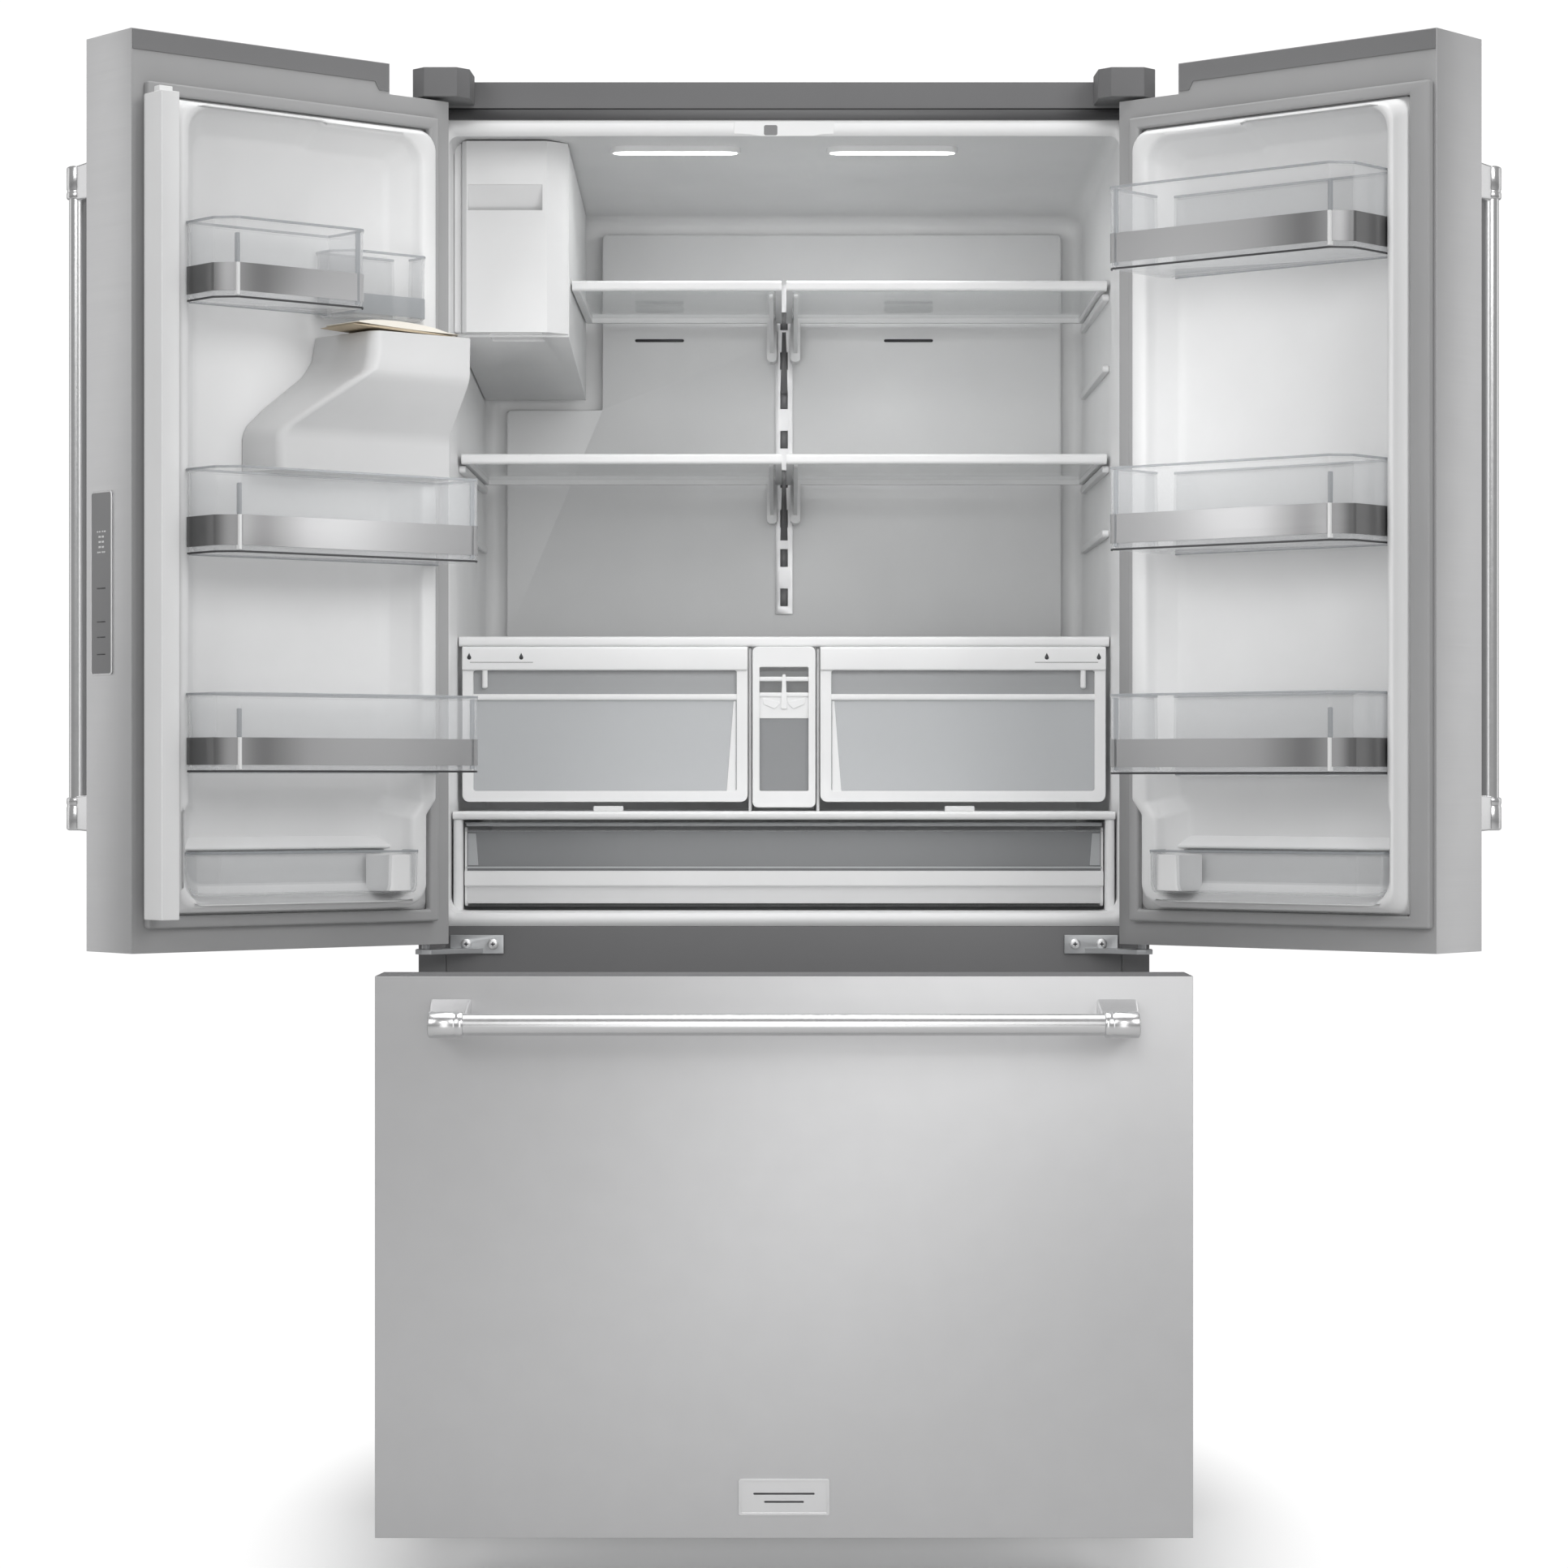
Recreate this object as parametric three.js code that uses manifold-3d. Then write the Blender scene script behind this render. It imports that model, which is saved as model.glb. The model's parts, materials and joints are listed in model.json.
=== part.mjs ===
// French door refrigerator: an insulated cabinet, two hinged fresh food doors and a freezer drawer.
// Millimetres, +Z up. X runs across the front and +Y runs towards the back of the cabinet.
// The pieces are placed with the cabinet's front face at y = 0. The last group moves the whole
// object so that the origin lies under the middle of its box, on the floor.
import * as THREE from "three";
import { mergeVertices } from "three/addons/utils/BufferGeometryUtils.js";
import Module from "manifold-3d";

const wasm = await Module();
wasm.setup();

// ---------------------------------------------------------------- driving dimensions

const GAP = 0.3; // clearance between pieces that touch on the real object
const SHEET = 1; // painted or stainless sheet steel
const PLASTIC = 2.5; // moulded liners, bins and drawers

const CABINET = { half: 452.5, depth: 631, top: 1786, bottom: 28, openingHalf: 418.5, openingTop: 1739 };
const FRESH = { half: 415.5, backHalf: 410.5, depth: 560, floor: 758, ceiling: 1728, backCeiling: 1697 };
const FREEZER = { half: 415.5, floor: 95, ceiling: 640, depth: 560, step: 280, stepDepth: 430 };
const MULLION = { bottom: 665, top: 740.6, depth: 55 };
const PAN_Z = 44; // underside of the base pan

const DOOR = { width: 450, thick: 100, bottom: 721, top: 1789.6, standoff: 12, notch: 88, notchZ: 1752.6 };
const DOOR_OPEN = 139.4; // degrees from closed, as modelled
const PIVOT = { x: 440, y: -40.5, s: 14, q: -28.5, pin: 5, bore: 5.5 };
const RIM = 40; // height of the raised rim on a door liner
const FLIPPER = { s: 434, q: 24.3, half: 12, reach: 34.7, bottom: 761, top: 1711 };

const DRAWER = { half: 454, thick: 100, bottom: 80.5, top: 704, out: 411 };
const HANDLE = { bar: 12, ferrule: 14.75, standoff: 58, end: 45 };
const DOOR_HANDLE = { s: 425, bottom: 860, top: 1651 };
const DRAWER_HANDLE = { half: 392, z: 653.5 };

const ROLLER = { radius: 20, width: 28, x: 392, y: 585, axle: 4 };
const FOOT = { radius: 22, x: 392, y: 26 };

const FRONT_Y = -(DOOR.standoff + DRAWER.thick + DRAWER.out + HANDLE.standoff + HANDLE.ferrule);
const BACK_Y = 640;

// ---------------------------------------------------------------- finishes

function finish(color, roughness, metalness = 0, opacity = 1) {
  const transparent = opacity < 1;
  return new THREE.MeshStandardMaterial({ color, roughness, metalness, opacity, transparent });
}

const STAINLESS = finish(0xc4c5c6, 0.36, 1);
const POLISHED = finish(0xdfe0e1, 0.12, 1);
const PAINTED_GREY = finish(0x6e6f71, 0.55, 0.2);
const GALVANISED = finish(0xa9adb0, 0.45, 0.9);
const WHITE = finish(0xeceeef, 0.42);
const GASKET = finish(0xd9dadb, 0.8);
const CLEAR = finish(0xe6edf2, 0.08, 0, 0.35);
const DARK = finish(0x3a3b3d, 0.4);
const BLACK = finish(0x1b1c1e, 0.5);

// ---------------------------------------------------------------- solids

// A closed three.js geometry as a solid that can be joined and cut.
function solid(geometry) {
  geometry.deleteAttribute("normal");
  geometry.deleteAttribute("uv");
  const merged = mergeVertices(geometry, 1e-4);
  const vertProperties = merged.attributes.position.array;
  const triVerts = new Uint32Array(merged.index.array);
  return new wasm.Manifold(new wasm.Mesh({ numProp: 3, vertProperties, triVerts }));
}

function block(x0, x1, y0, y1, z0, z1) {
  const box = new THREE.BoxGeometry(x1 - x0, y1 - y0, z1 - z0);
  return solid(box.translate((x0 + x1) / 2, (y0 + y1) / 2, (z0 + z1) / 2));
}

// A block whose front face (at y0) and back face (at y1) are different rectangles [x0, x1, z0, z1].
function taper(front, y0, back, y1) {
  const box = new THREE.BoxGeometry(1, 1, 1);
  const place = box.attributes.position;
  for (let i = 0; i < place.count; i++) {
    const atBack = place.getY(i) > 0;
    const [x0, x1, z0, z1] = atBack ? back : front;
    place.setXYZ(i, place.getX(i) > 0 ? x1 : x0, atBack ? y1 : y0, place.getZ(i) > 0 ? z1 : z0);
  }
  return solid(box);
}

// An outline extruded from one value to another along an axis. The outline's two coordinates are
// (x, y) along z, (y, z) along x and (x, z) along y.
function prism(axis, points, from, to) {
  const shape = new THREE.Shape(points.map(([a, b]) => new THREE.Vector2(a, b)));
  const bar = new THREE.ExtrudeGeometry(shape, { depth: to - from, bevelEnabled: false });
  if (axis === "z") return solid(bar.translate(0, 0, from));
  if (axis === "y") return solid(bar.rotateX(Math.PI / 2).translate(0, to, 0));
  return solid(bar.rotateY(Math.PI / 2).rotateX(Math.PI / 2).translate(from, 0, 0));
}

// A round bar along an axis. The centre holds the two coordinates across it, in x, y, z order.
function rod(axis, [a, b], radius, from, to, sides = 24) {
  const bar = new THREE.CylinderGeometry(radius, radius, to - from, sides);
  bar.rotateY(Math.PI / sides);
  const middle = (from + to) / 2;
  if (axis === "z") return solid(bar.rotateX(Math.PI / 2).translate(a, b, middle));
  if (axis === "y") return solid(bar.translate(a, middle, b));
  return solid(bar.rotateZ(Math.PI / 2).translate(middle, a, b));
}

const join = (first, ...rest) => rest.reduce((sum, part) => sum.add(part), first);
const cut = (first, ...rest) => rest.reduce((left, part) => left.subtract(part), first);

function meshOf(name, shape, material) {
  const { vertProperties, triVerts } = shape.getMesh();
  const geometry = new THREE.BufferGeometry();
  geometry.setAttribute("position", new THREE.BufferAttribute(vertProperties, 3));
  geometry.setIndex(new THREE.BufferAttribute(triVerts, 1));
  const mesh = new THREE.Mesh(geometry, material);
  material.flatShading = true;
  mesh.name = name;
  return mesh;
}

function group(...children) {
  const set = new THREE.Group();
  set.add(...children);
  return set;
}

// The same pieces on the other side of the object.
function mirrored(...children) {
  const set = group(...children);
  set.scale.x = -1;
  return set;
}

// ---------------------------------------------------------------- cabinet shell

// One folded sheet makes both sides, the top and the frame around the front openings.
function outerWrapper() {
  const { half, depth, top, bottom, openingHalf, openingTop } = CABINET;
  const inner = block(-half + SHEET, half - SHEET, SHEET, depth + 1, bottom - 1, top - SHEET);
  const opening = block(-openingHalf, openingHalf, -1, SHEET + 1, bottom - 1, openingTop);
  return cut(block(-half, half, 0, depth, bottom, top), inner, opening);
}

// Flat back sheet with cooling slots low down, the mains inlet and the water inlet.
function rearPanel() {
  const { half, depth, top, bottom } = CABINET;
  const y = depth + GAP;
  let panel = block(-half, half, y, y + SHEET, bottom, top);
  for (let i = 0; i < 7; i++) {
    const z = 110 + 22 * i;
    panel = cut(panel, block(-60, 330, y - 1, y + 2, z, z + 8));
  }
  const mainsInlet = cut(block(-400, -350, y, BACK_Y, 90, 124), block(-394, -356, y + 3, 641, 96, 118));
  return join(panel, mainsInlet, rod("y", [-380, 170], 9, y, BACK_Y, 16));
}

// Floor of the machine compartment, with two ears on each side that hold the roller axle.
function basePan() {
  const { half, depth } = CABINET;
  const width = half - SHEET - GAP;
  let pan = block(-width, width, SHEET + GAP, depth - GAP, PAN_Z, PAN_Z + 2);
  for (const side of [-1, 1]) {
    for (const offset of [-(ROLLER.width / 2 + 5), ROLLER.width / 2 + 5]) {
      const x = side * ROLLER.x + offset;
      pan = join(pan, block(x - 2, x + 2, ROLLER.y - 16, ROLLER.y + 16, 8, PAN_Z + 1));
    }
  }
  return cut(pan, rod("x", [ROLLER.y, ROLLER.radius], ROLLER.axle + 0.3, -half, half, 16));
}

// Cross member behind the grille that carries both levelling feet.
function levellingFeet() {
  const bar = block(-430, 430, 12, 48, PAN_Z - 8, PAN_Z - GAP);
  const feet = [-FOOT.x, FOOT.x].flatMap((x) => [
    rod("z", [x, FOOT.y], FOOT.radius, 0, 12),
    rod("z", [x, FOOT.y], 7, 11, PAN_Z - 4, 12),
  ]);
  return join(bar, ...feet);
}

function baseGrille() {
  let grille = block(-446, 446, -14, -10, 16, 76);
  for (let i = 0; i < 4; i++) grille = cut(grille, block(-420, 420, -15, -9, 26 + 11 * i, 31 + 11 * i));
  const tabs = [-436, 426].map((x) => block(x, x + 10, -11, -GAP, 34, 70));
  return join(grille, ...tabs);
}

// Channel across the front between the two compartments, open at the back for the insulation.
function mullionBar() {
  const { bottom, top, depth } = MULLION;
  const half = CABINET.openingHalf - GAP;
  const inner = block(-half + 2, half - 2, 2, depth + 1, bottom + 2, top - 2);
  return cut(block(-half, half, 0, depth, bottom, top), inner);
}

// Top hinge: a moulded cover over a steel bracket on the cabinet's top, with its pin.
function topHinge() {
  const nose = prism("z", [[-452, -GAP], [-455, -10], [-455, -52], [-440, -68], [-400, -68], [-385, -52],
    [-383, -GAP]], 1757, 1793);
  const foot = block(-450, -386, -2, 118, CABINET.top + GAP, 1793);
  return join(nose, foot, rod("z", [-PIVOT.x, PIVOT.y], PIVOT.pin, 1741, 1760, 16));
}

// Bottom hinge: a plate screwed to the mullion, an arm under the door and its pin.
function bottomHinge() {
  const plate = block(-413, -347, -4.3, -GAP, 707, 730);
  const arm = prism("z", [[-452, -30], [-452, -50], [-444, -56], [-432, -56], [-372, -4], [-372, -GAP],
    [-413, -GAP]], 708, 714);
  const screws = [-393, -360].map((x) => rod("y", [x, 719], 6, -7, -4, 12));
  return join(plate, arm, rod("z", [-PIVOT.x, PIVOT.y], PIVOT.pin, 712, 734, 16), ...screws);
}

// ---------------------------------------------------------------- fresh food compartment

// The inside half width of the fresh food liner at a depth y behind the front.
const wallX = (y) => FRESH.half + ((FRESH.backHalf - FRESH.half) * y) / FRESH.depth;

// White liner with a lip round its mouth, ledges for the shelves and the guide for the flipper bar.
function freshFoodLiner() {
  const { half, backHalf, depth, floor, ceiling, backCeiling } = FRESH;
  const t = PLASTIC;
  const shell = cut(
    taper([-half - t, half + t, floor - t, ceiling + t], 0, [-backHalf - t, backHalf + t, floor - t, backCeiling + t],
      depth + t),
    taper([-half, half, floor, ceiling], -0.5, [-backHalf, backHalf, floor, backCeiling], depth),
  );
  const topLip = block(-half - 2, half + 2, 0, t, 1720, CABINET.openingTop - GAP);
  const bottomLip = block(-half - 2, half + 2, 0, t, MULLION.top + GAP, floor - 1);
  const guide = block(-26, 34, 30, 38, 1721, ceiling - 1);
  const ledges = [];
  for (const z of [1541, 1450, 1322, 1240]) {
    for (const side of [-1, 1]) {
      if (side < 0 && z > 1400) continue; // the ice maker stands there
      const near = [side * (wallX(140) - 9), side * (wallX(140) + 1)].sort((a, b) => a - b);
      const far = [side * (wallX(520) - 9), side * (wallX(520) + 1)].sort((a, b) => a - b);
      ledges.push(taper([...near, z - 9, z], 140, [...far, z - 9, z], 520));
    }
  }
  return join(shell, topLip, bottomLip, guide, ...ledges);
}

// Air duct cover on the back wall: a shallow lid, notched round the ice maker, with four air slots.
function evaporatorCover() {
  const outline = (inset) => [[-380 + inset, 1115 + inset], [380 - inset, 1115 + inset],
    [380 - inset, 1669 - inset], [-249 + inset, 1669 - inset], [-249 + inset, 1429 - inset],
    [-380 + inset, 1429 - inset]];
  let cover = cut(prism("y", outline(0), 535, FRESH.depth - GAP), prism("y", outline(PLASTIC), 537.5, 561));
  for (const x of [-204, 137]) {
    cover = cut(cover, block(x, x + 67, 534, 539, 1562, 1572), block(x, x + 67, 534, 539, 1522, 1530));
  }
  return cover;
}

// Slotted steel upright that the shelf brackets hook into.
function shelfRack() {
  let rack = block(-12, 12, 531.2, 534.7, 1149, 1601);
  for (let i = 0; i < 8; i++) rack = cut(rack, block(-5, 5, 530, 536, 1160 + 54 * i, 1184 + 54 * i));
  return rack;
}

// Glass shelf in a moulded edge, with a bracket arm that hooks into the rack.
function shelf(x0, x1, z, thick) {
  const bracketX = x0 < 0 ? x1 - 16 : x0 + 10;
  const arm = prism("x", [[250, z + 8], [528, z + 8], [530.9, z - 4], [530.9, z - 62], [500, z - 62]],
    bracketX, bracketX + 5);
  const front = block(x0, x1, 125, 137, z, z + thick);
  const pane = block(x0 + 3, x1 - 3, 136, 500, z + thick - 6, z + thick - 1);
  const rear = block(x0, x1, 494, 506, z + 2, z + thick);
  const sides = [x0, x1 - 9].map((x) => block(x, x + 9, 130, 500, z + 1, z + thick));
  return join(front, pane, rear, ...sides, arm);
}

// Full-width glass cover over the crispers, in a moulded edge.
function crisperCover() {
  const plan = taper([-413, 413, 1093, 1104], 125, [-409, 409, 1093, 1104], 505);
  return cut(plan, block(-396, 396, 140, 492, 1092, 1099), block(-396, 396, 140, 492, 1103, 1105));
}

// Deck over the pantry drawer, with the two upright dividers between the crispers.
function deckShelf() {
  const plan = taper([-413, 413, 872.5, 882.5], 30, [-409, 409, 872.5, 882.5], 505);
  const deck = cut(plan, block(-400, 400, 44, 492, 872, 879));
  const dividers = [-45, 41].map((x) => block(x, x + 4, 130, 500, 882, 1092.6));
  return join(deck, ...dividers);
}

// Insulated ice compartment: a box with an open front, hung from the ceiling at the left wall.
function iceMakerHousing() {
  const outer = taper([-412, -271, 1480, 1720], 90, [-409, -271, 1442, 1695], 532);
  const inner = taper([-402, -281, 1490, 1710], 89, [-400, -281, 1464, 1685], 522);
  const outlet = block(-370, -303, 92, 118, 1440, 1500);
  return cut(outer, inner, outlet);
}

// Ice bucket: a front cover whose finger recess gets deeper downwards, and the tub behind it.
// The tub's floor opens over the door's chute.
function iceBin() {
  const plan = [[-404, 89.5], [-404, 66], [-398, 60], [-297, 60], [-272, 84], [-272, 89.5]];
  const cover = cut(prism("z", plan, 1483, 1723), block(-396, -303, 59, 76, 1636, 1668),
    block(-370, -303, 66, 84, 1482, 1490));
  const grip = prism("x", [[60.5, 1668.5], [76.5, 1668.5], [76.5, 1637], [74, 1637]], -396.5, -302.5);
  const tub = taper([-396, -287, 1498, 1640], 88, [-394, -287, 1494, 1640], 500);
  const hollow = taper([-393, -290, 1501, 1641], 92, [-391, -290, 1497, 1641], 497);
  return join(cover, grip, cut(tub, hollow, block(-366, -307, 96, 116, 1490, 1510)));
}

// ---------------------------------------------------------------- drawers inside the compartment

// Crisper drawer on the left: a framed front with a window panel and a tapered tub behind it.
function crisperDrawer() {
  const front = join(block(-408, -46, 121, 131, 894, 1091), block(-408, -46, 117, 122, 1061, 1091));
  const window = block(-394, -60, 120, 127, 908, 1061);
  const sliderSlot = block(-400, -330, 119, 127, 1060, 1071);
  const tub = taper([-401, -53, 896, 1056], 130, [-397, -57, 896, 1056], 490);
  const hollow = taper([-398.5, -55.5, 898.5, 1057], 131, [-394.5, -59.5, 898.5, 1057], 487.5);
  const rail = block(-401, -53, 130, 134, 1020, 1032);
  return cut(join(front, cut(tub, hollow), rail), window, sliderSlot);
}

// Humidity control: a tab that slides in a groove under the crisper's header.
function humiditySlider() {
  return join(block(-386, -372, 122, 125, 1062, 1070), block(-382, -376, 119.3, 124, 1039, 1068));
}

// Narrow drawer between the crispers.
function centreDrawer() {
  const front = cut(block(-40, 40, 119, 129, 887, 1091), block(-31, 31, 118, 125, 908, 1065));
  const tub = cut(block(-38, 38, 128, 480, 889, 1060), block(-35.5, 35.5, 129, 477.5, 891.5, 1061));
  return join(front, tub);
}

// Wide shallow drawer on the compartment's floor, with a sloping front.
function pantryDrawer() {
  const profile = [[60, 869], [60, 789], [72, 767], [72, 762], [490, 762], [490, 869]];
  const hollow = [[64, 870], [64, 791], [76, 769], [76, 766], [486, 766], [486, 870]];
  const rail = block(-400, 400, 57, 66, 857, 869);
  return join(cut(prism("x", profile, -400, 400), prism("x", hollow, -396.5, 396.5)), rail,
    block(-400, 400, 55, 62, 789, 808));
}

// ---------------------------------------------------------------- freezer and machine compartment

// Freezer liner, stepped at the back over the machine compartment, with a rail on each side wall.
function freezerLiner() {
  const { half, floor, ceiling, depth, step, stepDepth } = FREEZER;
  const t = PLASTIC;
  const inner = [[-1, floor], [stepDepth, floor], [stepDepth, step], [depth, step], [depth, ceiling], [-1, ceiling]];
  const outer = [[0, floor - t], [stepDepth + t, floor - t], [stepDepth + t, step - t], [depth + t, step - t],
    [depth + t, ceiling + t], [0, ceiling + t]];
  const shell = cut(prism("x", outer, -half - t, half + t), prism("x", inner, -half, half));
  const lips = [block(-half - t, half + t, 0, t, ceiling, MULLION.bottom - GAP),
    block(-half - t, half + t, 0, t, 80, floor)];
  const rails = [[-half - 1, -half + 10], [half - 10, half + 1]].map(([x0, x1]) =>
    block(x0, x1, 12, 425, 292, 300));
  return join(shell, ...lips, ...rails);
}

// A solid turned about z from a profile of [radius, height] points.
function turned(profile) {
  const points = profile.map(([r, z]) => new THREE.Vector2(r, z));
  return solid(new THREE.LatheGeometry(points, 24).rotateX(Math.PI / 2));
}

// Hermetic compressor: a domed steel can, open below, on a foot plate.
function compressor() {
  const can = turned([[0, 2], [82, 2], [82, 107], [74, 142], [50, 167], [0, 178]]);
  const inside = turned([[0, -1], [70, -1], [70, 104], [62, 134], [40, 156], [0, 165]]);
  return cut(join(can, block(-95, 95, -78, 78, 0, 5)), inside);
}

// Finned coil behind the air duct cover.
function evaporatorCoil() {
  let coil = block(-240, 240, 540, 557, 1150, 1290);
  for (let i = 0; i < 11; i++) {
    const x = -224 + 42 * i;
    coil = cut(coil, block(x, x + 26, 539, 546, 1156, 1284));
  }
  return coil;
}

// Axial fan about z: a hub with blades, each a twisted plate.
function fan(radius, thick, blades) {
  const parts = [rod("z", [0, 0], radius * 0.3, 0, thick, 20)];
  for (let i = 0; i < blades; i++) {
    const blade = new THREE.BoxGeometry(radius * 0.78, radius * 0.42, 1.6);
    blade.rotateX(Math.atan((thick - 4) / (radius * 0.42)) * 0.8);
    blade.translate(radius * 0.61, 0, thick / 2).rotateZ((2 * Math.PI * i) / blades);
    parts.push(solid(blade));
  }
  return join(...parts);
}

function rearRollers() {
  const at = [ROLLER.y, ROLLER.radius];
  const wheels = [-ROLLER.x, ROLLER.x].map((x) =>
    rod("x", at, ROLLER.radius / Math.cos(Math.PI / 32), x - ROLLER.width / 2, x + ROLLER.width / 2, 32));
  return join(rod("x", at, ROLLER.axle, -418, 418, 16), ...wheels);
}

// ---------------------------------------------------------------- doors
// A door is drawn closed in its own axes: x runs from the hinge edge to the free edge, y = 0 is its
// inner face with +y towards the compartment, and z is the height above the floor.

// Steel shell, open behind the liner, with a notch at the top for the hinge and a bore for each pin.
function doorSkin(linerEnd) {
  const { width, thick, bottom, top, notch, notchZ } = DOOR;
  const outer = cut(block(0, width, -thick, 0, bottom, top), block(-1, notch, -thick - 1, 1, notchZ, top + 1));
  const core = block(SHEET, width - SHEET, -thick + SHEET, -SHEET, bottom + SHEET, top - SHEET);
  const step = block(0, notch + SHEET, -thick, 0, notchZ - SHEET, top);
  const opening = block(40, linerEnd - 4, -SHEET - 1, 1, 768, 1711);
  const pins = rod("z", [PIVOT.s, PIVOT.q], PIVOT.bore, bottom - 1, top, 16);
  return cut(outer, cut(core, step), opening, pins);
}

// White inner liner: a pan with a raised rim round it, hollow from behind.
function doorLiner(linerEnd, rimEnd, panEnd) {
  const t = PLASTIC;
  const plate = block(36.5, linerEnd, GAP, GAP + t, 764.5, 1714.5);
  const rim = taper([38, linerEnd - 0.5, 766, 1713], GAP, [51, rimEnd, 769, 1710], RIM);
  const pan = taper([72, panEnd - 4, 784, 1695], GAP + t, [67, panEnd, 779, 1700], RIM + 0.1);
  const hollow = cut(
    taper([38 + t, linerEnd - 0.5 - t, 768.5, 1710.5], -0.1, [51 + t, rimEnd - t, 771.5, 1707.5], RIM - t),
    taper([72 - t, panEnd - 4 + t, 781.5, 1697.5], -0.2, [67 - t, panEnd + t, 776.5, 1702.5], RIM),
  );
  return cut(join(plate, rim), pan, hollow);
}

// The left liner also bulges round the dispenser's water and ice parts.
function leftDoorLiner() {
  const bulge = taper([60, 306, 944, 1301], GAP, [60, 300, 952, 1301], 38);
  const hollow = taper([74, 303, 946.5, 1298.5], -0.1, [74, 297.5, 954.5, 1298.5], 35.5);
  const duct = block(90, 145, -1, 4, 1314, 1358);
  return cut(join(doorLiner(419.5, 417, 395), bulge), hollow, duct);
}

// Magnetic seal round the liner.
function doorGasket(end, innerEnd) {
  return cut(block(22, end, GAP, 11.5, 750, 1729), block(36.2, innerEnd, -1, 12, 764.2, 1714.8));
}

// Tubular handle along z on two wedge posts with ferrules. Its bar stands HANDLE.standoff off y = 0.
function handle(from, to) {
  const { bar, ferrule, standoff, end } = HANDLE;
  const centre = [0, -standoff];
  const parts = [rod("z", centre, bar, from + 4, to - 4)];
  for (const [z0, z1, ring] of [[from, from + end, from + 3], [to - end, to, to - 37]]) {
    parts.push(prism("z", [[-13, -GAP], [-10, -standoff + 4], [10, -standoff + 4], [13, -GAP]], z0, z1));
    parts.push(rod("z", centre, ferrule, ring, ring + 34));
  }
  return join(...parts);
}

// Touch panel let into the free edge of the left door.
function controlPanel() {
  const { width } = DOOR;
  return block(width + GAP, width + 1.6, -86, -42, 1045, 1257);
}

// Ice and water dispenser: a lined recess in the outer face with a spout block and a drip ledge.
function dispenserNiche() {
  const face = -DOOR.thick;
  const bezel = block(68, 302, face - 2.2, face - GAP, 963, 1302);
  const well = block(81, 289, face - 1, -4, 976, 1289);
  const hollow = block(84, 286, face - 3, -7, 979, 1286);
  const spout = cut(block(150, 220, -62, -26, 1240, 1287), block(162, 208, -54, -34, 1239, 1270));
  const drip = block(100, 270, -88, -20, 978, 984);
  return join(cut(join(bezel, well), hollow), spout, drip);
}

// Paddle that a glass pushes back to start the dispenser. Its pivot is at its top edge.
function dispenserPaddle() {
  const plate = taper([158, 212, 1118, 1232], -32, [160, 210, 1120, 1232], -28);
  return join(plate, rod("x", [-28, 1230], 4, 150, 220, 12));
}

// Chute that takes ice from the ice bin above, through the liner, down to the dispenser. Its hood
// narrows below to a wide panel that stands out from the liner.
function iceChute() {
  const start = 44; // at the hinge edge
  const hood = block(start + 11, 197, RIM + 1.5, 122, 1396, 1449);
  const throat = prism("x", [[RIM + 1.5, 1397], [122, 1397], [66, 1330], [RIM + 1.5, 1330]], start + 11, 197);
  const wing = prism("y", [[196, 1449], [196, 1284], [300, 1284], [300, 1326], [212, 1400], [200, 1449]], RIM + 1.5, 66);
  const panel = block(start, 300, RIM + 1.5, 66, 1284, 1331);
  const back = block(76, 300, GAP + PLASTIC + GAP, RIM + 2, 1302, 1449);
  const lip = taper([70, 196, 1448, 1458], 50, [70, 196, 1448, 1464], 120);
  const mouth = block(84, 151, 60, 112, 1400, 1470);
  const duct = prism("x", [[58, 1440], [112, 1440], [112, 1402], [1, 1316], [1, 1356]], 92, 143);
  const hollow = prism("x", [[2, 1441], [60, 1441], [60, 1314], [2, 1314]], 162, 190);
  return cut(join(hood, throat, wing, panel, back, lip), mouth, duct, hollow);
}

// Bar on the left door's free edge that folds out to close the gap between the doors.
function flipperBar() {
  const { half, reach, bottom, top } = FLIPPER;
  const outline = [[-half, 0]];
  for (let i = 1; i < 12; i++) {
    const turn = Math.PI * (1 + i / 12);
    outline.push([half * Math.cos(turn), half * Math.sin(turn)]);
  }
  outline.push([half, 0], [half, reach], [-half, reach]);
  const nub = block(-9, 9, 13, 25, top - 1, top + 7);
  return join(prism("z", outline, bottom, top), nub);
}

// Clear door bin from its back at y = back to its front at y = front, with a slanted corner.
function doorBin(start, end, back, front, height) {
  const outline = (inset) => [[start + inset, back + inset], [end - inset, back + inset],
    [end - inset, front - 22 - inset * 0.4], [end - 22 - inset * 0.4, front - inset],
    [start + 8 + inset * 0.4, front - inset], [start + inset, front - 8 - inset * 0.4]];
  return cut(prism("z", outline(0), 0, height), prism("z", outline(PLASTIC), PLASTIC, height + 1));
}

// ---------------------------------------------------------------- freezer drawer

function drawerSkin() {
  const { half, thick, bottom, top } = DRAWER;
  const core = block(-half + SHEET, half - SHEET, -thick + SHEET, -SHEET, bottom + SHEET, top - SHEET);
  const opening = block(-406, 406, -SHEET - 1, 1, 104, 652);
  return cut(block(-half, half, -thick, 0, bottom, top), core, opening);
}

function drawerLiner() {
  const t = PLASTIC;
  const plug = taper([-408, 408, 102, 640], GAP, [-398, 398, 114, 618], 30);
  const hollow = taper([-408 + t, 408 - t, 104.5, 637.5], -0.1, [-398 + t, 398 - t, 116.5, 615.5], 30 - t);
  return cut(join(block(-412, 412, GAP, GAP + t, 98, 658), plug), hollow);
}

function drawerGasket() {
  return cut(block(-432, 432, GAP, 11.5, 84, 664), block(-412.4, 412.4, -1, 12, 97.6, 658.4));
}

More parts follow.
